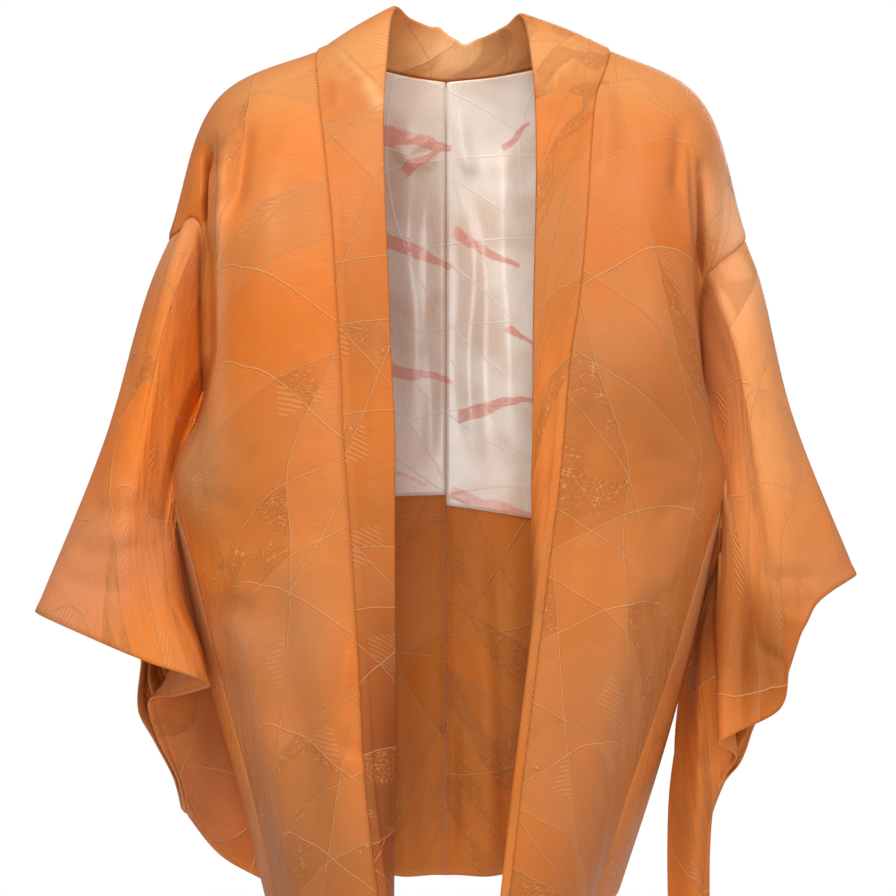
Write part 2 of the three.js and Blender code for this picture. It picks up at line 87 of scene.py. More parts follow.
def soft_lamp(name, place, aim, size, power, tint):
    """A round lamp at a place, turned towards what it lights."""
    lamp = bpy.data.lights.new(name, "AREA")
    lamp.shape = "DISK"
    lamp.size = size
    lamp.energy = power
    lamp.color = linear(tint)[:3]
    lamp_object = bpy.data.objects.new(name, lamp)
    lamp_object.location = place
    direction = Vector(aim) - Vector(place)
    lamp_object.rotation_euler = direction.to_track_quat("-Z", "Y").to_euler()
    bpy.context.scene.collection.objects.link(lamp_object)


scene = bpy.context.scene
camera_data = bpy.data.cameras.new("camera")
camera_data.lens = LENS
camera_data.sensor_width = 36
camera = bpy.data.objects.new("camera", camera_data)
camera.location = CAMERA_PLACE
camera.rotation_euler = (math.pi / 2, 0, 0)
scene.collection.objects.link(camera)
scene.camera = camera
scene.view_settings.view_transform = "Standard"
scene.view_settings.look = "None"

world = bpy.data.worlds.new("studio")
world.use_nodes = True
scene.world = world
sky = world.node_tree
sky.nodes.clear()
seen = add(sky, "ShaderNodeLightPath")
room = add(sky, "ShaderNodeBackground", {"Color": WHITE, "Strength": ROOM_LIGHT})
backdrop = add(sky, "ShaderNodeBackground", {"Color": WHITE, "Strength": 1.0})
shown = add(sky, "ShaderNodeMixShader", {0: seen.outputs["Is Camera Ray"],
                                         1: room.outputs[0], 2: backdrop.outputs[0]})
add(sky, "ShaderNodeOutputWorld", {"Surface": shown.outputs[0]})

soft_lamp("key", (-0.9, -2.3, 1.5), (0, 0, -0.25), 1.0, 44, "#FFFDF8")
soft_lamp("fill", (1.9, -2.2, 0.5), (0.1, 0, -0.3), 1.4, 26, "#FFFFFF")
soft_lamp("front", (0, -3.2, -0.1), (0, 0, -0.3), 1.0, 26, "#FFFFFF")
soft_lamp("top", (0.1, -0.6, 1.6), (0, 0, -0.1), 1.2, 11, "#FFFFFF")
soft_lamp("back", (0.6, 2.6, 0.8), (0, 0, -0.3), 2.0, 34, "#FFFFFF")

floor_mesh = bpy.data.meshes.new("floor")
half = FLOOR_SIZE / 2
floor_mesh.from_pydata([(-half, -half, FLOOR_HEIGHT), (half, -half, FLOOR_HEIGHT),
                        (half, half, FLOOR_HEIGHT), (-half, half, FLOOR_HEIGHT)],
                       [], [(0, 1, 2, 3)])
floor = bpy.data.objects.new("floor", floor_mesh)
scene.collection.objects.link(floor)
# Matt pale paint
paint, tree, shader = new_material("matt pale floor paint")
shader.inputs["Base Color"].default_value = linear("#F4F3F1")
shader.inputs["Roughness"].default_value = 0.8
floor_mesh.materials.append(paint)


# ---------------------------------------------------------------------------------------------
# Body panels: front and back of each side in one length of silk over the shoulder, with no
# shoulder seam. The two are joined in the centre-back seam, and the front edges go into the
# collar. The silk is figured satin, dyed in soft clouds, and it hangs from the shoulders. Some
# clouds are painted light and shade: lighter over the shoulders, darker towards the hem and by
# folds.

BODY_CLOTH = 1.3
SEAM_GAP = 0.2
CENTRE_SEAM_X = -10
CENTRE_SEAM_DEPTH, CENTRE_SEAM_WIDTH = 1.6, 3.2
SIDE_SEAM_DEPTH, SIDE_SEAM_WIDTH = 1.4, 2.6
BODY_ROWS = 286
BODY_COLUMNS = 100
CREASE_STEPS = 40
# Share of a crease's length in which it rises from the plain cloth at either end
CREASE_FADE = 0.3
FRONT_HEM, UNDERARM_FRONT, SHOULDER, NAPE, UNDERARM_BACK, BACK_HEM = 0, 4, 11, 14, 17, 21
BODY_SECTIONS = np.linspace(FRONT_HEM, BACK_HEM, BODY_ROWS)
# Share of the width in which creases fade out beside a seam
SEAM_FLAT = 0.09

# Sections from the front hem over the shoulder to the back hem: the seam at the collar and
# down the centre back, the crest where the panel turns sideways, and the side edge
BODY_RIGHT = [
    ((-55, -93, -708), (-124, -50, -710), (-150, 6, -712)),
    ((-69, -101, -589), (-143, -62, -595), (-172, -8, -603)),
    ((-74, -107, -499), (-163, -72, -502), (-196, -18, -508)),
    ((-79, -112, -407), (-184, -78, -408), (-219, -26, -411)),
    ((-83, -117, -348), (-222, -52, -347), (-236, -14, -345)),
    ((-86, -118, -305), (-206, -66, -305), (-214, -14, -280)),
    ((-88, -118, -248), (-190, -82, -245), (-212, -18, -230)),
    ((-92, -114, -192), (-188, -84, -201), (-212, -22, -189)),
    ((-96, -102, -135), (-188, -84, -144), (-212, -25, -148)),
    ((-103, -80, -78), (-187, -72, -92), (-220, -23, -129)),
    ((-109, -48, -33), (-187, -45, -56), (-231, -12, -138)),
    ((-111, 0, 13), (-194, 3, -22), (-242, 5, -144)),
    ((-80, 44, 8), (-186, 40, -34), (-237, 30, -150)),
    ((-42, 62, 1), (-182, 68, -58), (-230, 50, -175)),
    ((CENTRE_SEAM_X, 67, -3), (-178, 84, -98), (-226, 60, -212)),
    ((CENTRE_SEAM_X, 84, -55), (-174, 94, -150), (-226, 64, -255)),
    ((CENTRE_SEAM_X, 97, -125), (-172, 98, -210), (-229, 58, -300)),
    ((CENTRE_SEAM_X, 101, -215), (-176, 96, -280), (-237, 16, -346)),
    ((CENTRE_SEAM_X, 99, -390), (-178, 88, -400), (-232, 34, -410)),
    ((CENTRE_SEAM_X, 97, -500), (-164, 90, -502), (-216, 47, -504)),
    ((CENTRE_SEAM_X, 99, -600), (-143, 92, -600), (-191, 56, -600)),
    ((CENTRE_SEAM_X, 102, -694), (-122, 94, -695), (-166, 62, -698)),
]
BODY_LEFT = [
    ((32, -93, -708), (89, -52, -710), (110, 6, -712)),
    ((45, -101, -589), (119, -64, -595), (143, -8, -603)),
    ((56, -107, -499), (147, -74, -502), (174, -18, -508)),
    ((67, -112, -407), (175, -80, -408), (202, -26, -411)),
    ((74, -117, -348), (214, -50, -348), (220, -14, -347)),
    ((78, -118, -305), (204, -66, -306), (205, -14, -288)),
    ((83, -118, -248), (190, -80, -247), (203, -18, -250)),
    ((91, -114, -195), (182, -84, -201), (201, -22, -214)),
    ((97, -102, -135), (177, -86, -146), (203, -26, -183)),
    ((102, -80, -78), (178, -72, -92), (213, -26, -169)),
    ((108, -48, -33), (184, -46, -54), (231, -13, -154)),
    ((120, 0, 14), (194, 3, -20), (241, 5, -144)),
    ((80, 44, 8), (186, 40, -32), (237, 30, -150)),
    ((34, 62, 1), (182, 68, -56), (230, 50, -175)),
    ((CENTRE_SEAM_X, 67, -3), (178, 84, -96), (226, 60, -212)),
    ((CENTRE_SEAM_X, 84, -55), (172, 94, -150), (224, 64, -255)),
    ((CENTRE_SEAM_X, 97, -125), (168, 98, -210), (224, 56, -300)),
    ((CENTRE_SEAM_X, 101, -215), (170, 96, -280), (222, 16, -348)),
    ((CENTRE_SEAM_X, 99, -390), (160, 88, -400), (215, 36, -410)),
    ((CENTRE_SEAM_X, 97, -500), (146, 90, -502), (197, 48, -504)),
    ((CENTRE_SEAM_X, 99, -600), (126, 92, -600), (171, 56, -600)),
    ((CENTRE_SEAM_X, 102, -694), (104, 94, -695), (140, 62, -698)),
]

# Deep folds of the hanging back: place across, first and last section, depth, spread
BACK_FOLDS = [
    (0.2, 17, 23, -9, 0.09),
    (0.42, 16.5, 23, 12, 0.1),
    (0.66, 17.5, 23, -10, 0.09),
]

# Creases: height of the ridge (minus is a trough), width, and line of (x, z)
CREASES_FRONT_RIGHT = [
    (-11, 6, [(-207, -64), (-209, -90), (-210, -118), (-210, -150)]),
    (5, 6, [(-197, -75), (-197, -120), (-196, -170)]),
    (-7, 9, [(-172, -48), (-173, -75), (-176, -108), (-183, -140)]),
    (5, 6, [(-184, -58), (-186, -92), (-188, -130), (-190, -165)]),
    (3.5, 17, [(-126, -35), (-140, -100), (-154, -170), (-164, -245)]),
    (-3, 13, [(-88, -200), (-82, -300), (-72, -400), (-62, -520)]),
    (-4, 8, [(-221, -345), (-190, -338), (-154, -312)]),
    (-3, 9, [(-223, -356), (-196, -362), (-160, -372)]),
    (-4, 14, [(-154, -375), (-138, -470), (-120, -580), (-108, -672)]),
    (3.5, 12, [(-184, -410), (-160, -520), (-134, -660)]),
    (2.5, 14, [(-104, -420), (-98, -520), (-86, -640)]),
    (-4, 7, [(-200, -426), (-182, -440), (-158, -446)]),
    (3, 10, [(-202, -398), (-168, -410), (-132, -402)]),
    (3, 9, [(-196, -452), (-168, -466), (-136, -468)]),
    (-2.5, 5, [(-99, -546), (-85, -555), (-71, -551)]),
    (2.2, 5, [(-97, -560), (-83, -569), (-71, -567)]),
    (2.6, 7, [(-83, -470), (-88, -496), (-96, -516)]),
]
CREASES_FRONT_LEFT = [
    (-9, 6, [(198, -78), (200, -110), (201, -150), (201, -185)]),
    (4, 6, [(188, -70), (187, -120), (186, -170)]),
    (3, 10, [(112, -10), (118, -60), (116, -124)]),
    (-6, 9, [(183, -42), (179, -85), (175, -132)]),
    (3.5, 15, [(155, -52), (147, -124), (151, -200), (165, -262)]),
    (-3, 13, [(112, -225), (104, -305), (94, -376), (80, -470)]),
    (-4, 8, [(211, -340), (183, -336), (143, -313)]),
    (-3, 9, [(209, -352), (180, -362), (146, -380)]),
    (-4, 13, [(183, -391), (159, -470), (135, -565), (112, -660)]),
    (3, 13, [(143, -376), (129, -470), (112, -565)]),
    (3, 9, [(182, -412), (160, -424), (134, -420)]),
    (-3, 8, [(178, -432), (156, -446), (132, -444)]),
    (-2.5, 6, [(84, -540), (96, -552), (108, -548)]),
]
CREASES_BACK = [
    (-3.5, 15, [(-62, -60), (-70, -160), (-66, -260), (-58, -380)]),
    (-3.5, 14, [(58, -70), (66, -170), (60, -290), (52, -400)]),
    (4, 13, [(-176, -90), (-166, -170), (-170, -260)]),
    (4, 13, [(172, -84), (160, -180), (166, -270)]),
    (-5, 9, [(-205, -330), (-170, -318), (-130, -290)]),
    (-5, 9, [(200, -332), (168, -322), (126, -296)]),
    (4.5, 10, [(34, -380), (36, -470), (42, -600), (46, -700)]),
    (-4, 9, [(4, -540), (5, -620), (6, -700)]),
]

# Dye baths, and the haze that drifts over all of them. The peach lightens the shoulders,
# partly as dye and partly as painted light from above; the lit peach is a painted highlight;
# copper, clay and rust are painted shade, darker towards the hem and under folds
ORANGE, AMBER, SHOULDER_LIGHT_PEACH, HIGHLIGHT_PEACH = "#D0702A", "#CE6414", "#DC9658", "#ECB080"
SALMON, BEIGE, SHADE_RUST = "#CB7A4A", "#BA8054", "#B45C1E"
LOW_SHADE_COPPER, LOW_SHADE_CLAY, HAZE = "#9A5626", "#A56030", "#AC6634"
HAZE_STRENGTH = 0.22

# Clouds of dye and of painted light and shade: centre (x, z), reach across and along, colour,
# strength
CLOUDS_FRONT_RIGHT = [
    ((-140, -320), 110, 130, "#BE6A2A", 0.6),
    # A painted shade down the narrow strip behind the fold's edge, and a painted highlight on the
    # crest beside it
    ((-207, -250), 9, 110, "#8A4A22", 0.7),
    ((-190, -190), 7, 110, HIGHLIGHT_PEACH, 0.4),
    ((-140, -500), 120, 110, LOW_SHADE_CLAY, 0.75),
    ((-110, -670), 120, 120, LOW_SHADE_COPPER, 0.8),
    ((-150, -15), 80, 45, SHOULDER_LIGHT_PEACH, 0.75),
    ((-135, -135), 45, 45, BEIGE, 0.55),
    ((-100, -200), 40, 70, AMBER, 0.5),
    ((-160, -235), 60, 50, AMBER, 0.45),
    ((-215, -330), 35, 45, BEIGE, 0.9),
    ((-110, -300), 45, 50, SALMON, 0.4),
    ((-165, -400), 70, 50, AMBER, 0.2),
    ((-192, -415), 26, 20, "#E27C2A", 0.7), ((-120, -398), 34, 22, "#E27C2A", 0.55),
    # The small dark cloud at (-180, -441) is a painted shadow under a diagonal wrinkle; the
    # salmon one beside it is dye
    ((-180, -441), 20, 9, "#8A4C1C", 0.5), ((-182, -472), 36, 24, "#CC8A5E", 0.6),
    ((-77, -482), 11, 48, "#D86A10", 0.7), ((-112, -470), 24, 40, "#C4885A", 0.5),
    ((-150, -545), 40, 22, "#D07A3C", 0.5), ((-78, -560), 14, 30, "#D06A18", 0.6),
    ((-110, -420), 50, 45, BEIGE, 0.35),
    ((-85, -500), 30, 110, AMBER, 0.5),
    ((-150, -520), 55, 60, SALMON, 0.3),
    ((-120, -620), 45, 60, BEIGE, 0.25),
]
CLOUDS_FRONT_LEFT = [
    # The brown clouds at (140, -160), (150, -310) and (146, -289) are painted shade on this
    # front, which is turned from the light; the narrow dark one at x 207 is painted shade behind
    # the fold's edge
    ((140, -160), 90, 80, "#AE6030", 0.7),
    ((230, -125), 30, 50, "#F6BE92", 0.85),
    ((207, -270), 7, 60, "#8A4A22", 0.6),
    ((150, -310), 90, 90, "#8E4C20", 0.85),
    ((150, -430), 110, 80, LOW_SHADE_COPPER, 0.6),
    ((135, -540), 110, 110, LOW_SHADE_CLAY, 0.75),
    ((110, -680), 110, 100, LOW_SHADE_COPPER, 0.75),
    ((150, -10), 85, 45, SHOULDER_LIGHT_PEACH, 0.7),
    ((140, -110), 45, 40, SALMON, 0.5),
    ((165, -190), 45, 50, AMBER, 0.5),
    ((125, -240), 50, 45, BEIGE, 0.5),
    ((190, -300), 40, 45, SALMON, 0.35),
    ((110, -330), 45, 50, "#C0641E", 0.5),
    ((160, -390), 60, 50, SALMON, 0.2),
    ((105, -440), 45, 50, AMBER, 0.4),
    ((146, -289), 60, 50, "#86440E", 0.5),
    ((135, -500), 50, 60, BEIGE, 0.3),
    ((90, -590), 40, 70, SALMON, 0.3),
]
CLOUDS_BACK = [
    ((-110, -40), 110, 50, SHOULDER_LIGHT_PEACH, 0.6),
    ((120, -50), 110, 50, SHOULDER_LIGHT_PEACH, 0.6),
    ((-60, -190), 70, 60, AMBER, 0.5),
    ((80, -160), 70, 70, SALMON, 0.5),
    ((-150, -290), 60, 70, BEIGE, 0.5),
    ((130, -330), 60, 60, AMBER, 0.45),
    ((-40, -400), 40, 30, AMBER, 0.9),
    ((-120, -460), 60, 70, SALMON, 0.5),
    ((24, -500), 60, 120, "#E4802A", 0.85),
    ((90, -560), 60, 70, BEIGE, 0.5),
    ((-60, -620), 70, 60, SHADE_RUST, 0.4),
]


def smoothstep(value, low, high):
    """0 below the low value, 1 above the high one, and eased between them."""
    t = np.clip((value - low) / (high - low), 0, 1)
    return t * t * (3 - 2 * t)


def unit(vectors):
    """Vectors made 1 long."""
    length = np.linalg.norm(vectors, axis=-1, keepdims=True)
    return vectors / np.maximum(length, 1e-9)


def hermite(start, start_slope, end, end_slope, u):
    """Points at u, from 0 to 1, on curves that leave and arrive at given slopes."""
    u = np.asarray(u, float)[..., None]
    u2, u3 = u * u, u * u * u
    return (start * (2 * u3 - 3 * u2 + 1) + start_slope * (u3 - 2 * u2 + u)
            + end * (3 * u2 - 2 * u3) + end_slope * (u3 - u2))


def through(points, places):
    """Smooth curve through points, at places counted in points."""
    points = np.asarray(points, float)
    places = np.asarray(places, float)
    last = len(points) - 1
    i = np.clip(np.floor(places).astype(int), 0, last - 1)
    before = points[np.maximum(i - 1, 0)]
    after = points[np.minimum(i + 2, last)]
    start_slope = (points[i + 1] - before) * np.where(i > 0, 0.5, 1.0)[:, None]
    end_slope = (after - points[i]) * np.where(i + 2 <= last, 0.5, 1.0)[:, None]
    return hermite(points[i], start_slope, points[i + 1], end_slope, places - i)


def across_panel(seam, crest, side, lean, across):
    """Curves that leave the seam square to the front, round the crest and end at the side."""
    to_crest, to_side = crest - seam, side - crest
    a = np.linalg.norm(to_crest, axis=1, keepdims=True)
    b = np.linalg.norm(to_side, axis=1, keepdims=True)
    square = unit(np.stack([to_crest[:, 0], to_crest[:, 2] * lean, to_crest[:, 2]], axis=1)) * a
    turn = to_crest * b / (a * (a + b)) + to_side * a / (b * (a + b))
    distance = across[None, :] * (a + b)
    near = hermite(seam[:, None], square[:, None], crest[:, None], (turn * a)[:, None],
                   distance / a)
    far = hermite(crest[:, None], (turn * b)[:, None], side[:, None], to_side[:, None],
                  (distance - a) / b)
    return np.where((distance <= a)[..., None], near, far)


def grid_normals(grid, sign):
    """Outward normals of a grid of points, from its neighbours along both ways."""
    over = np.gradient(grid, axis=1)
    along = np.gradient(grid, axis=0)
    return unit(np.cross(over, along)) * sign


def at_section(values, section, column=-1):
    """Points, or normals, of one column of the body at sections along it."""
    return np.stack([np.interp(section, BODY_SECTIONS, values[:, column, k])
                     for k in range(3)], axis=-1)


def body_panel(table, seam_shift, sections, across):
    """Points of one side of the body, at sections along it and places across it."""
    table = np.array(table, float)
    seams, crests, sides = table[:, 0].copy(), table[:, 1], table[:, 2]
    seams[NAPE:, 0] += seam_shift

    def seam_at(places):
        return np.where((places <= NAPE)[:, None], through(seams[:NAPE + 1], places),
                        through(seams[NAPE:], places - NAPE))

    places = np.clip(sections, NAPE, BACK_HEM - 0.1)
    slope = seam_at(places + 0.1) - seam_at(places + 1e-6)
    lean = slope[:, 1] / slope[:, 2] * smoothstep(sections, SHOULDER, NAPE)
    sign = -1 if seam_shift < 0 else 1
    plain = across_panel(seam_at(sections), through(crests, sections), through(sides, sections),
                         lean, across)
    push = np.zeros(plain.shape[:2])
    for place, first, last, depth, spread in BACK_FOLDS:
        ease = smoothstep(sections, first, (first + last) / 2)
        push += depth * ease[:, None] * np.exp(-((across - place) / spread) ** 2)[None, :]
    return plain + grid_normals(plain, sign) * push[..., None]


def crease_push(grid, creases, wanted):
    """How far each point moves along its normal for the creases laid over it in (x, z)."""
    push = np.zeros(grid.shape[:2])
    flat = grid[..., (0, 2)]
    for height, width, points in creases:
        line = through(points, np.linspace(0, len(points) - 1, CREASE_STEPS))
        nearest = np.full(grid.shape[:2], np.inf)
        place = np.zeros(grid.shape[:2])
        for k in range(len(line) - 1):
            start, step = line[k], line[k + 1] - line[k]
            away = flat - start
            t = np.clip((away @ step) / (step @ step), 0, 1)
            distance = np.linalg.norm(away - t[..., None] * step, axis=-1)
            closer = distance < nearest
            nearest = np.where(closer, distance, nearest)
            place = np.where(closer, (k + t) / (len(line) - 1), place)
        fade = smoothstep(place, 0, CREASE_FADE) * smoothstep(1 - place, 0, CREASE_FADE)
        push += height * fade * np.exp(-(nearest / width) ** 2)
    return push * wanted


def arc_lengths(grid, axis):
    """Length run along the cloth from the grid's first line, at each of its points."""
    steps = np.linalg.norm(np.diff(grid, axis=axis), axis=-1)
    total = np.cumsum(steps, axis=axis)
    zero = np.zeros_like(np.take(total, [0], axis=axis))
    return np.concatenate([zero, total], axis=axis)


def plain_dye(grid, colour):
    """One colour over the whole of a grid."""
    return np.broadcast_to(np.array(linear(colour)), grid.shape[:2] + (4,))


def dye_and_painted_light(grid, clouds, wanted, colours):
    """Blend clouds of dye and of painted light and shade, placed in (x, z), over the colours of a
    grid.
    """
    for (x, z), reach_x, reach_z, colour, strength in clouds:
        near = np.exp(-((grid[..., 0] - x) / reach_x) ** 2 - ((grid[..., 2] - z) / reach_z) ** 2)
        amount = (strength * near * wanted)[..., None]
        colours = colours * (1 - amount) + np.array(linear(colour)) * amount
    return colours


def wall_faces(rows, columns, points, closed):
    """Faces of a wall with an outer and an inner grid of points, turned outwards."""
    index = np.arange(rows * columns).reshape(rows, columns)
    under = index + rows * columns

    def quads(a, b, c, d):
        return np.stack([a.ravel(), b.ravel(), c.ravel(), d.ravel()], axis=1)

    faces = [
        quads(index[:-1, :-1], index[:-1, 1:], index[1:, 1:], index[1:, :-1]),
        quads(under[:-1, :-1], under[1:, :-1], under[1:, 1:], under[:-1, 1:]),
        quads(index[0, :-1], under[0, :-1], under[0, 1:], index[0, 1:]),
        quads(index[-1, :-1], index[-1, 1:], under[-1, 1:], under[-1, :-1]),
    ]
    if not closed:
        faces.append(quads(index[:-1, 0], index[1:, 0], under[1:, 0], under[:-1, 0]))
        faces.append(quads(index[:-1, -1], under[:-1, -1], under[1:, -1], index[1:, -1]))
    faces = np.concatenate(faces)
    corners = points[faces]
    volume = np.einsum("ij,ij->i", corners[:, 0],
                       np.cross(corners[:, 1], corners[:, 2])
                       + np.cross(corners[:, 2], corners[:, 3])).sum()
    return faces[:, ::-1] if volume < 0 else faces


def woven_places(u, v):
    """Places on the weave. The threads drift a little, so the figure's long lines bend."""
    bent_u = u + 6 * np.sin(v / 95 + 1.1) + 2 * np.sin(v / 41 + u / 120)
    bent_v = v + 4 * np.sin(u / 70 + 0.4) + 5 * np.sin(u / 110 - v / 130)
    return np.stack([bent_u, bent_v], axis=-1).reshape(-1, 2) * MM


def hazed(colours, u, v):
    """Colours under the soft haze that comes and goes over the whole cloth."""
    haze = 0.5 + 0.5 * np.sin(u / 53 + 1.3 * np.sin(v / 88 + 0.5)) * np.sin(
        v / 61 + 1.7 * np.sin(u / 97 + 2.1))
    haze = (HAZE_STRENGTH * haze)[..., None]
    return (colours * (1 - haze) + np.array(linear(HAZE)) * haze).reshape(-1, 4)


def cloth_piece(name, grid, normals, thickness, across_cloth, along_cloth, colours, material,
                closed=False):
    """A wall of cloth on a grid of points, as one object with its weave's UV map and its colours
    of dye and painted light and shade.
    """
    outer = grid + normals * thickness / 2
    inner = grid - normals * thickness / 2
    points = np.concatenate([outer.reshape(-1, 3), inner.reshape(-1, 3)]) * MM
    faces = wall_faces(*grid.shape[:2], points, closed)
    mesh = bpy.data.meshes.new(name)
    mesh.from_pydata(points.tolist(), [], faces.tolist())
    u, v = np.broadcast_arrays(across_cloth, along_cloth)
    weave = np.tile(woven_places(u, v), (2, 1))
    uv = mesh.uv_layers.new(name="weave")
    uv.data.foreach_set("uv", weave[faces.ravel()].ravel())
    # The colour attribute holds the dye together with the painted light and shade
    colour = mesh.attributes.new("dye_and_painted_light", "FLOAT_COLOR", "POINT")
    colour.data.foreach_set("color", np.tile(hazed(colours, u, v), (2, 1)).ravel())
    if closed:
        shape = bmesh.new()
        shape.from_mesh(mesh)
        bmesh.ops.remove_doubles(shape, verts=shape.verts, dist=1e-6)
        shape.to_mesh(mesh)
        shape.free()
    mesh.shade_smooth()
    mesh.materials.append(material)
    piece = bpy.data.objects.new(name, mesh)
    scene.collection.objects.link(piece)
    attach(piece, "root")
    return piece


# Families of lines: angle, spacing, and shift of their uneven swing
FIGURE_FAMILIES = [(0.33, 92, 0.3), (1.30, 78, 3.7), (2.30, 98, 8.1), (0.80, 150, 5.2)]
SWING_RATE, SWING = 2.3, 0.3
FIGURE_LINE = 0.8
FIGURE_RISE = 0.0011
HATCH_PITCH = 2.4
RIB_PITCH = 3.8
CRACKLE_WORM = 5.2
# Share of the fourth family of lines that is left out
LEFT_OUT = 0.45
# Cells by chance, from 0 to 1: which of them are crackled, hatched, ribbed and finely hatched
CRACKLED, HATCHED, RIBBED, FINE = (0.0, 0.17), (0.2, 0.3), (0.3, 0.55), (0.55, 0.7)


def math_node(tree, operation, a, b=0.0, c=0.0):
    return add(tree, "ShaderNodeMath", {0: a, 1: b, 2: c}, operation=operation).outputs[0]


def mix_colour(tree, amount, a, b, blend="MIX"):
    return add(tree, "ShaderNodeMix", {0: amount, 6: a, 7: b}, data_type="RGBA",
               blend_type=blend).outputs[2]


def ramp(tree, value, low, high, start=0.0, end=1.0):
    return add(tree, "ShaderNodeMapRange", {0: value, 1: low, 2: high, 3: start, 4: end},
               interpolation_type="SMOOTHSTEP").outputs[0]


def dot_with(tree, vector, direction):
    return add(tree, "ShaderNodeVectorMath", {0: vector, 1: direction},
               operation="DOT_PRODUCT").outputs["Value"]


def noise(tree, vector, scale, detail=2.0):
    return add(tree, "ShaderNodeTexNoise", {"Vector": vector, "Scale": scale, "Detail": detail})


# Figured silk satin (rinzu): smooth warp floats with a soft gloss, on which the figure is woven
# in dull weft, so lines and cells stand up by a hair and catch less light. Crossing lines about
# 90 mm apart cut the ground into cells, and some are filled with hatching, ribs or crackle.
figured_silk, tree, shader = new_material("figured silk satin")
weave = add(tree, "ShaderNodeUVMap", uv_map="weave").outputs[0]
mm = add(tree, "ShaderNodeVectorMath", {0: weave, 3: 1 / MM}, operation="SCALE").outputs[0]
places = []
steepness = []
for angle, spacing, shift in FIGURE_FAMILIES:
    along = dot_with(tree, mm, (math.cos(angle) / spacing, math.sin(angle) / spacing, 0.0))
    swing = math_node(tree, "MULTIPLY_ADD", along, SWING_RATE, shift)
    # Uneven spacing: each family of lines swings to and fro on its regular places
    places.append(math_node(tree, "MULTIPLY_ADD", math_node(tree, "SINE", swing), SWING, along))
    steepness.append(math_node(tree, "MULTIPLY_ADD", math_node(tree, "COSINE", swing),
                               SWING_RATE * SWING, 1.0))
cells = [math_node(tree, "FLOOR", place) for place in places]
lines = None
for k, (_, spacing, _) in enumerate(FIGURE_FAMILIES):
    nearest = math_node(tree, "ROUND", places[k])
    away = math_node(tree, "ABSOLUTE", math_node(tree, "SUBTRACT", places[k], nearest))
    away = math_node(tree, "DIVIDE", math_node(tree, "MULTIPLY", away, float(spacing)),
                     steepness[k])
    line = ramp(tree, away, FIGURE_LINE * 0.3, FIGURE_LINE, 1.0, 0.0)
    # A line runs from crossing to crossing, and is left out between some of them
    stretch = add(tree, "ShaderNodeCombineXYZ", {0: nearest, 1: cells[(k + 1) % 3],
                                                 2: float(k) + 0.5}).outputs[0]
    kept = math_node(tree, "GREATER_THAN", add(
        tree, "ShaderNodeTexWhiteNoise", {"Vector": stretch},
        noise_dimensions="3D").outputs["Value"], 0.0 if k < 3 else LEFT_OUT)
    line = math_node(tree, "MULTIPLY", line, kept)
    lines = line if lines is None else math_node(tree, "MAXIMUM", lines, line)
cell = add(tree, "ShaderNodeCombineXYZ", {0: cells[0], 1: cells[1], 2: cells[2]}).outputs[0]
chance = add(tree, "ShaderNodeTexWhiteNoise", {"Vector": cell}, noise_dimensions="3D")
kind = chance.outputs["Value"]
tone = add(tree, "ShaderNodeSeparateColor", {0: chance.outputs["Color"]})


def within(low, high):
    """1 in the cells whose chance lies between two shares."""
    above = math_node(tree, "GREATER_THAN", kind, low)
    return math_node(tree, "MULTIPLY", above, math_node(tree, "LESS_THAN", kind, high))


def waves(pitch, angle):
    """Even waves from 0 to 1 across the weave."""
    phase = dot_with(tree, mm, (math.cos(angle) * math.tau / pitch,
                                math.sin(angle) * math.tau / pitch, 0.0))
    return math_node(tree, "MULTIPLY_ADD", math_node(tree, "SINE", phase), 0.5, 0.5)


# The crackle's pale worms lie where a noise passes its middle value
worms = math_node(tree, "ABSOLUTE", math_node(
    tree, "SUBTRACT", noise(tree, mm, 1 / CRACKLE_WORM, 0.0).outputs[0], 0.5))
crackle = ramp(tree, worms, 0.012, 0.045, 1.0, 0.0)
patches = ramp(tree, math_node(tree, "ADD", waves(61, 0.7), math_node(
    tree, "ADD", waves(43, 2.1), waves(83, 1.5))), 1.35, 1.75)
rib_patches = math_node(tree, "MULTIPLY", math_node(tree, "GREATER_THAN", waves(83, 1.2), 0.72),
                        math_node(tree, "GREATER_THAN", waves(97, 2.9), 0.7))
crackle_here = math_node(tree, "MULTIPLY", within(*CRACKLED), patches)
crackled = math_node(tree, "MULTIPLY", crackle, crackle_here)
hatched = math_node(tree, "MULTIPLY", waves(HATCH_PITCH, 0.5), within(*HATCHED))
ribbed = math_node(tree, "MULTIPLY", math_node(
    tree, "MULTIPLY", waves(RIB_PITCH, 1.9), within(*RIBBED)), rib_patches)
fine = math_node(tree, "MULTIPLY", waves(HATCH_PITCH, 2.5), within(*FINE))
# Weft floats, finer than the eye sees at arm's length, are drawn about 1.5 mm apart
threads = noise(tree, add(tree, "ShaderNodeVectorMath", {0: mm, 1: (0.09, 1.0, 0.0)},
                          operation="MULTIPLY").outputs[0], 0.65, 1.0).outputs[0]

# The hanging cloth is never quite flat: soft dimples some 30 mm wide
dimples = noise(tree, mm, 0.03, 1.0).outputs[0]

# How high each pattern stands, as a share of the height of the crossing lines
rise = lines
for pattern, share in ((hatched, 0.12), (dimples, 2.6), (crackled, 0.34), (ribbed, 0.5),
                       (fine, 0.07), (threads, 0.22)):
    rise = math_node(tree, "MULTIPLY_ADD", pattern, share, rise)
bump = add(tree, "ShaderNodeBump", {"Height": rise, "Distance": FIGURE_RISE, "Strength": 0.75})

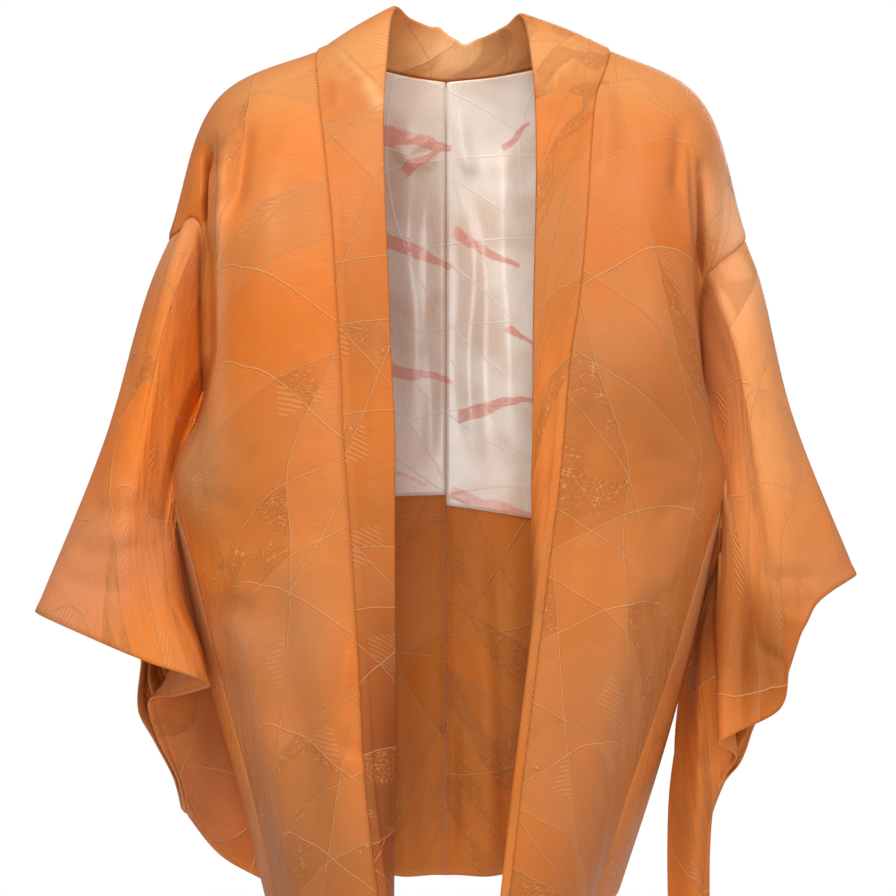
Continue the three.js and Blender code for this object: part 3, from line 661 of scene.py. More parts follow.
# The ground colour is the dye with painted light and shade, from the piece's attribute
ground = add(tree, "ShaderNodeAttribute", attribute_name="dye_and_painted_light").outputs["Color"]
cell_tone = math_node(tree, "MULTIPLY_ADD", tone.outputs[0], 0.12, 0.93)
ground = mix_colour(tree, 1.0, ground, add(
    tree, "ShaderNodeCombineColor", {0: cell_tone, 1: cell_tone, 2: cell_tone}).outputs[0],
    "MULTIPLY")
ground = mix_colour(tree, math_node(tree, "MULTIPLY", tone.outputs[1], 0.2), ground,
                    linear("#BE8456"))
ground = mix_colour(tree, math_node(tree, "MULTIPLY", crackle_here, 0.30), ground,
                    linear("#A0541C"))
# The woven figure is paler than its ground, each pattern by its own share
figure = math_node(tree, "MULTIPLY", lines, 0.29)
for pattern, share in ((crackled, 0.26), (ribbed, 0.09), (hatched, 0.06)):
    figure = math_node(tree, "MAXIMUM", figure, math_node(tree, "MULTIPLY", pattern, share))
ground = mix_colour(tree, figure, ground, linear("#F2BC88"))
ground = mix_colour(tree, ramp(tree, threads, 0.35, 0.7, 0.0, 0.10), ground,
                    linear("#8E4A1C"))
tree.links.new(ground, shader.inputs["Base Color"])
tree.links.new(bump.outputs[0], shader.inputs["Normal"])
gloss = math_node(tree, "MULTIPLY_ADD", threads, 0.16, 0.36)
tree.links.new(math_node(tree, "MULTIPLY_ADD", lines, 0.12, gloss), shader.inputs["Roughness"])
shader.inputs["IOR"].default_value = 1.5
shader.inputs["Specular IOR Level"].default_value = 0.38
shader.inputs["Specular Tint"].default_value = linear("#FFC48C")


# The front hangs over the armhole seam in a fold, and drops back behind its edge to the seam:
# height, distance of the fold's edge from the middle, and depth of the drop
FOLD_EDGE_RIGHT = [(-60, 194, 0), (-95, 192, 24), (-244, 192, 27), (-276, 200, 24),
                   (-302, 208, 12), (-326, 219, 0)]
FOLD_EDGE_LEFT = [(-70, 183, 0), (-120, 183, 12), (-200, 188, 18), (-264, 195, 18),
                  (-300, 206, 8), (-330, 217, 0)]
FRONT_OF_SEAM = -14
FOLD_TURN = 3.5
DROP_RISES_AGAIN = (8, 19)


def drop_behind_fold(grid, edge):
    """Move the front's points beside the armhole back to the seam, behind the fold's edge."""
    heights, places, depths = (np.array(column, float) for column in zip(*edge[::-1]))
    out = abs(grid[..., 0]) - np.interp(grid[..., 2], heights, places)
    depth = np.interp(grid[..., 2], heights, depths)
    in_front = grid[..., 1] < FRONT_OF_SEAM
    grid[..., 1] += in_front * depth * smoothstep(out, 0, FOLD_TURN) * (
        1 - smoothstep(out, *DROP_RISES_AGAIN))


def back_push(grid, sections, across, sign):
    """Creases of the hanging back, on one side of the centre seam."""
    own = [crease for crease in CREASES_BACK
           if (crease[2][0][0] < CENTRE_SEAM_X) == (sign < 0)]
    behind = smoothstep(sections - SHOULDER, 0.5, 2.5)[:, None]
    return crease_push(grid, own, behind * smoothstep(across, 0, SEAM_FLAT))


def body_grid(table, seam_shift, front_creases):
    """Body points with their creases, and their outward normals."""
    across = np.linspace(0, 1, BODY_COLUMNS)
    sign = -1 if seam_shift < 0 else 1
    grid = body_panel(table, seam_shift, BODY_SECTIONS, across)
    normals = grid_normals(grid, sign)
    front = smoothstep(SHOULDER + 0.5 - BODY_SECTIONS, 0, 1.5)[:, None]
    push = crease_push(grid, front_creases, front * smoothstep(across, 0, SEAM_FLAT))
    push += back_push(grid, BODY_SECTIONS, across, sign)
    # The centre-back seam draws the cloth in, and so do the seams at the sides
    from_seam = arc_lengths(grid, 1)
    from_side = from_seam[:, -1:] - from_seam
    behind = smoothstep(BODY_SECTIONS, NAPE, NAPE + 1)[:, None]
    push -= CENTRE_SEAM_DEPTH * np.exp(-(from_seam / CENTRE_SEAM_WIDTH) ** 2) * behind
    push -= SIDE_SEAM_DEPTH * np.exp(-(from_side / SIDE_SEAM_WIDTH) ** 2)
    grid = grid + normals * push[..., None]
    drop_behind_fold(grid, FOLD_EDGE_RIGHT if sign < 0 else FOLD_EDGE_LEFT)
    return grid, grid_normals(grid, sign)


def body_piece(name, table, seam_shift, creases, clouds, offset):
    """One side of the body. Its offset takes another stretch of the woven figure."""
    grid, normals = body_grid(table, seam_shift, creases)
    shoulder_row = int(np.argmin(abs(BODY_SECTIONS - SHOULDER)))
    along = arc_lengths(grid, 0)
    along = along - along[shoulder_row][None, :]
    width = arc_lengths(grid, 1)
    width = width - width[:, BODY_COLUMNS // 2][:, None]
    front = smoothstep(SHOULDER + 0.5 - BODY_SECTIONS, 0, 1)[:, None]
    colours = dye_and_painted_light(grid, clouds, front, plain_dye(grid, ORANGE))
    colours = dye_and_painted_light(grid, CLOUDS_BACK, 1 - front, colours)
    piece = cloth_piece(name, grid, normals, BODY_CLOTH, width + offset, along, colours,
                        figured_silk)
    return piece, grid, normals


body_right, right_grid, right_normals = body_piece(
    "body_right_silk", BODY_RIGHT, -SEAM_GAP, CREASES_FRONT_RIGHT, CLOUDS_FRONT_RIGHT, 260)
body_left, left_grid, left_normals = body_piece(
    "body_left_silk", BODY_LEFT, SEAM_GAP, CREASES_FRONT_LEFT, CLOUDS_FRONT_LEFT, 1240)
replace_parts(body_right, "body_right")
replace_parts(body_left, "body_left")


# ---------------------------------------------------------------------------------------------
# Gussets (machi): a long narrow triangle of the same silk between front and back under each
# arm, sewn along both sides from the underarm to the hem.

GUSSET_BULGE = 4
GUSSET_ROWS = 90
GUSSET_COLUMNS = 24
TUCK_DEPTH, TUCK_WIDTH = 1.9, 2.2


def gusset_piece(name, grid, outwards, offset):
    """A gusset between the two side edges of a body panel."""
    amounts = np.linspace(0, 1, GUSSET_ROWS)
    side = at_section(grid, UNDERARM_FRONT * (1 - amounts))
    other = at_section(grid, UNDERARM_BACK + (BACK_HEM - UNDERARM_BACK) * amounts)
    span = np.linalg.norm(other - side, axis=1)[:, None]
    across = np.linspace(0, 1, GUSSET_COLUMNS)[None, :]
    share = across + 0 * span
    points = side[:, None] + (other - side)[:, None] * share[..., None]
    bulge = GUSSET_BULGE * 4 * across * (1 - across)
    # Its edges turn in behind the panels they are sewn to
    edge = np.minimum(share, 1 - share) * span
    tuck = TUCK_DEPTH * np.exp(-(edge / TUCK_WIDTH) ** 2)
    points[..., 0] += outwards * (bulge - tuck)
    normals = grid_normals(points, 1)
    normals *= np.sign((normals[..., :1] * outwards).mean())
    clouds = [((outwards * 190, -560), 400, 90, ORANGE, 0.9),
              ((outwards * 150, -700), 400, 60, SHADE_RUST, 0.8)]
    colours = dye_and_painted_light(points, clouds, 1.0, plain_dye(points, BEIGE))
    along = arc_lengths(points, 0)
    width = arc_lengths(points, 1)
    piece = cloth_piece(name, points, normals, BODY_CLOTH, width + offset, -along, colours,
                        figured_silk)
    return piece


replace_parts(gusset_piece("gusset_right_silk", right_grid, -1, 700), "gusset_right")
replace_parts(gusset_piece("gusset_left_silk", left_grid, 1, 1700), "gusset_left")


# ---------------------------------------------------------------------------------------------
# Sleeves (sode): each is one length of silk folded at the top of the arm, sewn to the armhole
# for about 22 cm, and open below it and at the hand. The deep bag below the arm hangs behind
# the side in soft pleats.

ARMHOLE_RUN = 10
ARMHOLE_PUFF_TOP = 1
ARMHOLE_PUFF_UNDERARM = 7
ARMHOLE_RISE_FRONT = 3
ARMHOLE_STEP_FRONT = 2
# The sleeve's edge is turned in under the panel's edge, this far along and below it
TURNED_IN, TURNED_UNDER = 2.0, 2.3
UNDERARM_PLACE_FRONT = 14
UNDERARM_PLACE_BACK = 24
SLEEVE_PLACES = 36
# Places round the tube, and fractions of its length, which crowd towards the armhole
SLEEVE_ROUND = np.linspace(0, SLEEVE_PLACES, 289)
SLEEVE_ALONG = np.linspace(0, 1, 100) ** 1.6
CREASE_SHARE_BEHIND = 0.42
# The turned hem at the hand: how much thicker, how deep, and the groove of its stitches
HEM_THICKER, HEM_DEPTH = 0.5, 7
HEM_GROOVE, HEM_GROOVE_WIDTH = 8, 1.6

# Guides round the tube: place, free edge below the underarm, middle, and edge at the hand.
# Place 0 is the fold at the top of the arm, 14 the underarm in front, 19 the bottom fold
SLEEVE_RIGHT = [
    (0, None, (-297, 0, -322), (-351, 0, -456)),
    (5, None, (-270, -38, -345), (-308, -34, -471)),
    (10, None, (-256, -26, -392), (-255, -40, -493)),
    (14, None, (-225, -5, -432), (-204, -28, -514)),
    (15, (-248, 22, -368), (-240, 30, -470), (-236, 10, -527)),
    (16, (-230, 62, -420), (-238, 48, -515), (-262, 30, -533)),
    (17, (-216, 76, -505), (-230, 56, -565), (-256, 40, -566)),
    (18, (-190, 88, -610), (-214, 68, -630), (-240, 44, -600)),
    (19, (-165, 95, -700), (-203, 78, -674), (-236, 52, -627)),
    (20, (-178, 101, -640), (-215, 84, -635), (-244, 60, -602)),
    (21, (-198, 99, -560), (-230, 84, -570), (-260, 60, -572)),
    (22, (-216, 93, -470), (-247, 76, -490), (-274, 58, -545)),
    (23, (-238, 62, -390), None, None),
    (24, None, (-258, 64, -420), (-272, 54, -496)),
    (28, None, (-276, 50, -368), (-310, 44, -470)),
    (32, None, (-289, 32, -338), (-337, 25, -458)),
]
SLEEVE_LEFT = [
    (0, None, (278, 1, -292), (331, 0, -425)),
    (5, None, (250, -36, -325), (292, -26, -450)),
    (10, None, (238, -30, -382), (272, -28, -500)),
    (12, None, None, (264, -25, -534)),
    (14, None, (220, 2, -440), (217, -22, -561)),
    (15, (236, 16, -372), (217, 18, -480), (232, 8, -578)),
    (16, (214, 36, -430), (208, 24, -520), (224, 24, -600)),
    (17, (200, 48, -505), (203, 22, -565), (216, 30, -625)),
    (18, (181, 46, -610), (202, 24, -645), (213, 34, -668)),
    (19, (180, 44, -722), (202, 34, -724), (214, 40, -716)),
    (20, (186, 60, -660), (206, 50, -690), (215, 46, -622)),
    (21, (190, 84, -560), (218, 64, -590), (242, 52, -588)),
    (22, (206, 86, -470), (232, 68, -480), (252, 52, -562)),
    (23, (224, 62, -390), None, None),
    (24, None, (246, 60, -390), (268, 50, -525)),
    (28, None, (258, 50, -345), (286, 42, -470)),
    (32, None, (270, 32, -312), (312, 24, -434)),
]
CREASES_SLEEVE_RIGHT = [
    (3, 12, [(-262, -270), (-278, -330), (-292, -390)]),
    (-3, 11, [(-214, -250), (-226, -320), (-238, -370), (-246, -430)]),
    (-3, 6, [(-310, -366), (-282, -370), (-250, -367)]),
    (-3, 6, [(-326, -400), (-292, -406), (-256, -402)]),
    (-2.5, 6, [(-332, -424), (-300, -432), (-264, -437)]),
    (2, 4, [(-318, -388), (-270, -390), (-232, -390)]),
    (-3.5, 9, [(-232, -352), (-226, -420), (-216, -490)]),
]
CREASES_SLEEVE_LEFT = [
    (3, 12, [(226, -120), (240, -200), (262, -300), (280, -380)]),
    (-5, 12, [(212, -200), (226, -280), (240, -370), (250, -470)]),
    (-4, 6, [(246, -430), (272, -424), (300, -430)]),
    (-3, 5, [(240, -480), (256, -488), (270, -498)]),
    (3, 6, [(262, -455), (282, -462), (302, -452)]),
    (4, 10, [(222, -300), (216, -400), (212, -500), (214, -640)]),
    (-5, 8, [(234, -420), (232, -500), (230, -600)]),
]
CLOUDS_SLEEVE_RIGHT = [
    # Painted light over the top of the sleeve, below the shoulder
    ((-240, -130), 40, 60, HIGHLIGHT_PEACH, 0.5),
    ((-250, -260), 60, 80, "#EA7A26", 0.85),
    ((-212, -300), 18, 100, "#E46C0C", 0.8),
    ((-300, -400), 60, 45, "#DC8A5C", 0.85),
    ((-275, -420), 35, 30, "#B8714A", 0.5),
    ((-320, -450), 40, 40, "#E0906A", 0.7),
    ((-235, -480), 35, 40, "#D87A30", 0.8),
    ((-225, -620), 90, 80, "#AE7250", 0.7),
]
CLOUDS_SLEEVE_LEFT = [
    ((240, -170), 60, 90, "#EFAE7C", 0.8),
    ((255, -300), 50, 90, "#E79A5E", 0.8),
    ((290, -420), 50, 45, "#B8764C", 0.75),
    ((235, -400), 40, 50, "#E8934E", 0.6),
    ((245, -495), 45, 60, "#884412", 1.0),
    ((200, -560), 22, 90, ORANGE, 0.8),
    ((205, -640), 60, 50, LOW_SHADE_CLAY, 0.7),
    ((200, -700), 60, 50, SHADE_RUST, 0.8),
]


def round_guides(rows, place):
    """Point at a place round the tube, on a smooth curve through (place, point) rows."""
    i = max(k for k in range(len(rows) - 1) if rows[k][0] <= place)
    i = min(max(i, 1), len(rows) - 3)
    (p0, a), (p1, b), (p2, c), (p3, d) = [(p, np.array(v, float)) for p, v in rows[i - 1:i + 3]]
    span = p2 - p1
    return hermite(b, (c - a) * span / (p2 - p0), c, (d - b) * span / (p3 - p1),
                   (place - p1) / span)


def wrapped(rows):
    """Rows of a closed curve, with two repeated beyond each end."""
    turn = SLEEVE_PLACES
    return ([(p - turn, v) for p, v in rows[-2:]] + rows + [(p + turn, v) for p, v in rows[:3]])


def along_line(points, fractions):
    """Smooth curve through unevenly spaced points, at fractions of its length."""
    steps = np.diff(points, axis=0)
    lengths = np.linalg.norm(steps, axis=1)
    starts = np.concatenate([[0], np.cumsum(lengths)])
    distance = np.asarray(fractions) * starts[-1]
    slopes = [steps[0] / lengths[0]]
    for k in range(1, len(points) - 1):
        a, b = lengths[k - 1], lengths[k]
        slopes.append(steps[k - 1] * b / (a * (a + b)) + steps[k] * a / (b * (a + b)))
    slopes.append(steps[-1] / lengths[-1])
    i = np.clip(np.searchsorted(starts, distance, side="right") - 1, 0, len(lengths) - 1)
    slopes = np.array(slopes)
    length = lengths[i][:, None]
    return hermite(points[i], slopes[i] * length, points[i + 1], slopes[i + 1] * length,
                   (distance - starts[i]) / lengths[i])


def armhole_start(grid, normals, place, middle):
    """Points from the turned-in edge over the armhole seam, at a sewn place round the sleeve."""
    in_front = place <= UNDERARM_PLACE_FRONT
    if in_front:
        under = place / UNDERARM_PLACE_FRONT
        section = SHOULDER - under * (SHOULDER - UNDERARM_FRONT)
    else:
        under = (SLEEVE_PLACES - place) / (SLEEVE_PLACES - UNDERARM_PLACE_BACK)
        section = SHOULDER + under * (UNDERARM_BACK - SHOULDER)
    edge = at_section(grid, section)
    onwards = unit(edge - at_section(grid, section, -5))
    outward = unit(at_section(normals, section, -3))
    if in_front:
        # In front the seam lies at the bottom of a deep fold
        near = edge + unit(middle - edge) * ARMHOLE_RUN
        near[1] -= ARMHOLE_RISE_FRONT * math.sin(math.pi * under)
        swell = math.sqrt(max(math.sin(math.pi * under), 0))
        near[0] += math.copysign(ARMHOLE_STEP_FRONT * swell, edge[0])
    else:
        puff = ARMHOLE_PUFF_TOP + (ARMHOLE_PUFF_UNDERARM - ARMHOLE_PUFF_TOP) * under
        near = edge + onwards * ARMHOLE_RUN * (1 - 0.5 * under) + outward * puff
    tucked = edge - onwards * TURNED_IN - outward * TURNED_UNDER
    turned = edge + onwards * 1.5 - outward * 0.6
    return [tucked, turned, near]


def sleeve_tube(grid, normals, table, pleats):
    """Points of a sleeve, in rows from the armhole to the hand and columns round it."""
    middles = wrapped([(p, m) for p, _, m, _ in table if m])
    cuffs = wrapped([(p, c) for p, _, _, c in table if c])
    front_end, back_end = at_section(grid, UNDERARM_FRONT), at_section(grid, UNDERARM_BACK)
    inners = [(p, i) for p, i, _, _ in table if i]
    inners = ([(UNDERARM_PLACE_FRONT - 1, 2 * front_end - np.array(inners[0][1])),
               (UNDERARM_PLACE_FRONT, front_end)] + inners
              + [(UNDERARM_PLACE_BACK, back_end),
                 (UNDERARM_PLACE_BACK + 1, 2 * back_end - np.array(inners[-1][1]))])
    lines = []
    for place in SLEEVE_ROUND % SLEEVE_PLACES:
        middle, cuff = round_guides(middles, place), round_guides(cuffs, place)
        if UNDERARM_PLACE_FRONT < place < UNDERARM_PLACE_BACK:
            edge = round_guides(inners, place)
            near = edge + (middle - edge) * 0.15
            start = [edge, edge + (near - edge) * 0.3, near]
        else:
            start = armhole_start(grid, normals, place, middle)
        lines.append(along_line(np.array(start + [middle, cuff]), SLEEVE_ALONG))
    tube = np.array(lines).transpose(1, 0, 2)
    # Deep pleats on the hidden back of the bag stand out behind
    bag = (smoothstep(SLEEVE_ROUND, 19.3, 21) * smoothstep(34 - SLEEVE_ROUND, 0, 5))[None, :]
    for centre, reach, depth in pleats:
        tube[..., 1] += depth * bag * np.exp(-((SLEEVE_ALONG[:, None] - centre) / reach) ** 2)
    return tube


def sleeve_piece(name, tube, creases, clouds, offset):
    """A sleeve on the points of its tube, with its creases, the hem at the hand, and its dye with
    painted light and shade.
    """
    round_normals = grid_normals(tube, 1)
    wrap = unit(round_normals[:, :1] + round_normals[:, -1:])
    round_normals[:, :1] = wrap
    round_normals[:, -1:] = wrap
    centre = tube.mean(axis=1, keepdims=True)
    round_normals *= np.sign(((tube - centre) * round_normals).sum())
    front = smoothstep(SLEEVE_ROUND, -0.5, 1.5) * smoothstep(18.5 - SLEEVE_ROUND, 0, 2)
    free = smoothstep(SLEEVE_ALONG, 0.02, 0.12)[:, None]
    push = crease_push(tube, creases, free * (front + CREASE_SHARE_BEHIND * (1 - front)))
    push[:, -1] = push[:, 0]
    # The hem at the hand is turned in and stands a little thicker
    from_cuff = arc_lengths(tube, 0)
    from_cuff = from_cuff[-1:] - from_cuff
    push += HEM_THICKER * smoothstep(HEM_DEPTH - from_cuff, 0, 2)
    push -= HEM_THICKER * np.exp(-((from_cuff - HEM_GROOVE) / HEM_GROOVE_WIDTH) ** 2)
    tube = tube + round_normals * push[..., None]
    colours = dye_and_painted_light(tube, clouds, 1.0, plain_dye(tube, ORANGE))
    colours[:, -1] = colours[:, 0]
    # Each weft thread keeps its place round the tube, so the weave isn't sheared by the folds
    girth = arc_lengths(tube, 1).mean(axis=0)[None, :]
    length = arc_lengths(tube, 0)
    piece = cloth_piece(name, tube, round_normals, BODY_CLOTH, length + offset, -girth, colours,
                        figured_silk, closed=True)
    return piece


# Pleats of the bag: place along the sleeve as a share, reach, depth
PLEATS_RIGHT = [(0.26, 0.07, 20), (0.46, 0.08, 15), (0.66, 0.07, 22), (0.86, 0.06, 12)]
PLEATS_LEFT = [(0.26, 0.07, 18), (0.5, 0.08, 14), (0.74, 0.07, 20)]
right_tube = sleeve_tube(right_grid, right_normals, SLEEVE_RIGHT, PLEATS_RIGHT)
left_tube = sleeve_tube(left_grid, left_normals, SLEEVE_LEFT, PLEATS_LEFT)
sleeve_right = sleeve_piece("sleeve_right_silk", right_tube, CREASES_SLEEVE_RIGHT,
                            CLOUDS_SLEEVE_RIGHT, 2300)
sleeve_left = sleeve_piece("sleeve_left_silk", left_tube, CREASES_SLEEVE_LEFT,
                           CLOUDS_SLEEVE_LEFT, 3100)
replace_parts(sleeve_right, "sleeve_right")
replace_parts(sleeve_left, "sleeve_left")


# ---------------------------------------------------------------------------------------------
# Collar (eri): one long band of the same silk, folded outwards in half, round the neck and down
# both fronts to the hem. One edge is sewn to the panels, and the other lies over the seam.

COLLAR_CLOTH = 1.0
COLLAR_FOLD_RADIUS = 1.4
COLLAR_LEAF_LIFT = 2.1
COLLAR_LAP_FRONT = 4
COLLAR_LAP_BACK = 14
COLLAR_ROWS = 200
# Points across the band: inner leaf, round the fold, outer leaf, and its lap over the seam
INNER_LEAF, FOLD, OUTER_LEAF, LAP = 14, 5, 22, 4
OUTER_START = INNER_LEAF + FOLD
OUTER_END = OUTER_START + OUTER_LEAF
# How far a crease may sink the outer leaf before it meets the inner one
DEEPEST_CREASE = -1.9
COLLAR_FOLD_RIGHT = [
    (-54, -56, -710), (-51, -80, -592), (-50, -98, -500), (-50, -112, -407),
    (-50, -118, -348), (-50, -119, -305), (-53, -120, -243), (-55, -116, -188),
    (-58, -102, -124), (-60, -78, -64), (-59, -36, -8), (-54, 8, 48),
    (-40, 34, 45), (-22, 50, 40), (-4, 56, 33),
]
COLLAR_FOLD_LEFT = [
    (43, -44, -710), (54, -52, -597), (60, -76, -502), (58, -102, -407),
    (57, -116, -348), (58, -118, -305), (58, -120, -243), (59, -116, -192),
    (61, -102, -128), (62, -78, -65), (61, -36, -10), (54, 8, 42),
    (40, 32, 38), (18, 50, 31), (-4, 56, 33),
]
CLOUDS_COLLAR_RIGHT = [
    # Painted highlight along the collar's turn over the shoulder in the pale clouds, and painted
    # shade below it in the rust ones
    ((-92, -24), 14, 13, SHADE_RUST, 0.45), ((-74, -44), 13, 13, SHADE_RUST, 0.4),
    ((-97, 2), 8, 8, "#F6BE84", 0.7), ((-84, -11), 8, 8, "#F6BE84", 0.7),
    ((-72, -26), 8, 9, "#F6BE84", 0.8), ((-65, -40), 7, 9, "#F6BE84", 0.8),
    ((0, 18), 56, 24, "#FFC890", 0.95),
    ((-80, 10), 50, 35, SHOULDER_LIGHT_PEACH, 0.9),
    ((-70, -60), 50, 40, BEIGE, 0.45),
    ((-70, -130), 40, 50, SALMON, 0.6),
    ((-72, -210), 40, 90, "#AA5A26", 0.75),
    ((-66, -370), 40, 50, LOW_SHADE_CLAY, 0.5),
    ((-62, -460), 40, 60, LOW_SHADE_CLAY, 0.5),
    ((-58, -575), 40, 160, "#702200", 1.0),
]
CLOUDS_COLLAR_LEFT = [
    # Painted highlight along the collar's turn over the shoulder in the pale clouds, and painted
    # shade below it in the rust ones
    ((92, -24), 14, 13, SHADE_RUST, 0.4), ((76, -42), 13, 13, SHADE_RUST, 0.4),
    ((98, 2), 8, 8, "#F4B478", 0.6), ((86, -10), 8, 8, "#F4B478", 0.6),
    ((74, -24), 8, 9, "#F4B478", 0.6),
    ((0, 18), 56, 24, "#FFC890", 0.95),
    ((85, 5), 50, 35, SHOULDER_LIGHT_PEACH, 0.8),
    ((80, -70), 40, 40, ORANGE, 0.6),
    ((75, -150), 40, 50, BEIGE, 0.5),
    ((78, -190), 40, 100, "#A85C28", 0.7),
    ((68, -350), 40, 50, AMBER, 0.6),
    ((64, -470), 40, 90, LOW_SHADE_CLAY, 0.6),
    ((50, -600), 40, 90, SHADE_RUST, 0.6),
]
CREASES_COLLAR = [
    (5, 4, [(-106, 10), (-92, -4), (-76, -20), (-60, -40)]),
    (-1.5, 5, [(-110, -2), (-96, -16), (-80, -33), (-62, -58)]),
    (2, 4, [(-100, -10), (-99, -30), (-98, -48)]),
    (5, 4, [(106, 8), (94, -4), (80, -18), (64, -34)]),
    (-1.5, 5, [(110, -4), (96, -20), (82, -36), (66, -58)]),
    (-2.5, 6, [(-78, -430), (-68, -560), (-62, -700)]),
    (1.5, 8, [(-58, -180), (-62, -260), (-60, -340)]),
    (1.5, 8, [(66, -240), (68, -330), (64, -420)]),
]


def collar_half(normals, folds, outwards):
    """Cross-sections of half the band, each from its sewn edge over the fold to its free edge."""
    places = np.linspace(FRONT_HEM, NAPE, COLLAR_ROWS)
    table = BODY_RIGHT if outwards > 0 else BODY_LEFT
    edges = body_panel(table, -SEAM_GAP if outwards > 0 else SEAM_GAP, places,
                       np.array([0.0, 0.04]))
    seam, beside = edges[:, 0], edges[:, 1]
    normal = unit(at_section(normals, places, 3))
    over = unit(beside - seam)
    fold = through(folds, places)
    tangent = unit(np.gradient(seam, axis=0))
    band = unit(fold - seam)
    face = unit(np.cross(band, tangent)) * outwards
    lap = COLLAR_LAP_FRONT + (COLLAR_LAP_BACK - COLLAR_LAP_FRONT) * smoothstep(
        places, SHOULDER, NAPE)
    turn = COLLAR_FOLD_RADIUS
    section = []
    for amount in np.linspace(0, 1, INNER_LEAF):
        start = seam - over * (SEAM_GAP + 0.8 * COLLAR_CLOTH)
        leaf = start + (fold - band * turn - start) * amount
        section.append(leaf - face * turn * smoothstep(np.array(amount), 0, 0.4))
    for angle in np.linspace(-60, 60, FOLD):
        a = math.radians(angle)
        section.append(fold - band * turn * (1 - math.cos(a)) + face * turn * math.sin(a))
    corner = seam + normal * COLLAR_LEAF_LIFT - over * 2 * turn
    for amount in np.linspace(0, 1, OUTER_LEAF):
        start = fold - band * turn + face * turn
        point = start + (corner - start) * amount
        # The outer leaf rolls softly off the fold and settles on the seam
        roll = 1.6 * math.sin(math.pi * amount) ** 0.8
        section.append(point + face * roll)
    for amount in np.linspace(0.3, 1, LAP):
        section.append(corner + over * (2 * turn + lap)[:, None] * amount)
    return np.stack(section, axis=1)


right_half = collar_half(right_normals, COLLAR_FOLD_RIGHT, 1)
left_half = collar_half(left_normals, COLLAR_FOLD_LEFT, -1)[::-1]
nape = (right_half[-1:] + left_half[:1]) / 2
collar_grid = np.concatenate([right_half[:-1], nape, left_half[1:]])
# The fold edge dips and rises a little behind the neck, and the leaves follow it
neck_x = collar_grid[..., 0]
behind = smoothstep(collar_grid[..., 1], 20, 45)
wave = 3.0 * np.exp(-((neck_x + 16) / 5) ** 2) - 5.0 * np.exp(-((neck_x - 6) / 7) ** 2)
lifted = np.ones(collar_grid.shape[1])
lifted[:INNER_LEAF] = np.linspace(0, 1, INNER_LEAF)
lifted[OUTER_START:OUTER_END] = np.linspace(1, 0, OUTER_LEAF)
lifted[OUTER_END:] = 0
collar_grid[..., 2] += wave * behind * lifted[None, :]
collar_normals = grid_normals(collar_grid, 1)
leaf = np.zeros(collar_grid.shape[1])
leaf[OUTER_START:OUTER_END] = np.sin(np.linspace(0, np.pi, OUTER_LEAF)) ** 0.5
collar_push = crease_push(collar_grid, CREASES_COLLAR, leaf[None, :])
# The outer leaf may not sink into the inner one
middle_of_leaf = OUTER_START + OUTER_LEAF // 2
outer_side = np.sign((collar_normals[:, middle_of_leaf, 1].mean() < 0) - 0.5)
collar_grid = collar_grid + collar_normals * (outer_side * np.maximum(
    collar_push, DEEPEST_CREASE))[..., None]
collar_normals = grid_normals(collar_grid, 1)
collar_side = (collar_grid[..., 0] < 0).astype(float)
collar_colours = dye_and_painted_light(collar_grid, CLOUDS_COLLAR_RIGHT, collar_side,
                     plain_dye(collar_grid, ORANGE))
collar_colours = dye_and_painted_light(collar_grid, CLOUDS_COLLAR_LEFT, 1 - collar_side, collar_colours)
collar = cloth_piece("collar_silk", collar_grid, collar_normals, COLLAR_CLOTH,
                     arc_lengths(collar_grid, 1) + 4000, arc_lengths(collar_grid, 0),
                     collar_colours, figured_silk)
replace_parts(collar, "collar")


# ---------------------------------------------------------------------------------------------
# Back lining (katasuberi): two halves of thin silver-white satin inside the upper back, with
# brushed streaks of pink, joined at the centre and felled to the neck and the armholes.

LINING_CLOTH = 0.6
LINING_GAP = 1.3
# Row of the mesh on which the lower edge is stitched, and thickness of the thread
HEM_ROW = -3
THREAD = 0.3
LINING_ROWS, LINING_COLUMNS = 130, 80
LINING_SECTIONS = 220
# Share of the back panel's width that is lined, and how far the lining's folds stand out
LINED_SHARE = 0.889
LINING_LIFT = 1.1
# Lower edge: height at the centre, its slope, and how far out it slopes
LINING_EDGE_RIGHT = (-360, -0.05, 60)
LINING_EDGE_LEFT = (-369, -0.24, 80)
CREASES_LINING = [
    (7, 15, [(-46, -14), (-40, -70), (-43, -140), (-37, -220), (-41, -352)]),
    (3.5, 7, [(-20, -60), (-24, -150), (-18, -250), (-23, -345)]),
    (5, 6, [(-8, -16), (0, -40), (6, -66), (20, -84)]),
    (4.5, 5, [(-58, -50), (-38, -70), (-14, -64)]),
    (3, 4, [(-54, -66), (-36, -56), (-20, -52)]),
    (3.5, 9, [(8, -90), (14, -170), (10, -250), (18, -345)]),
    (7, 17, [(44, -30), (40, -130), (46, -240), (42, -350)]),
]

# Brush strokes: start, end, half the width at the start
BRUSH_STROKES = [
    ((-64, -46), (-6, -58), 9.0), ((-44, -78), (-12, -54), 6.0), ((-66, -138), (-6, -162), 8.5),
    ((-62, -250), (-4, -262), 6.5), ((-54, -340), (-26, -350), 3.0),
    ((-4, -128), (54, -160), 6.0), ((0, -288), (68, -276), 7.0), ((44, -214), (68, -232), 4.0),
    ((40, -56), (64, -40), 3.5), ((-8, -360), (70, -379), 7.0),
]
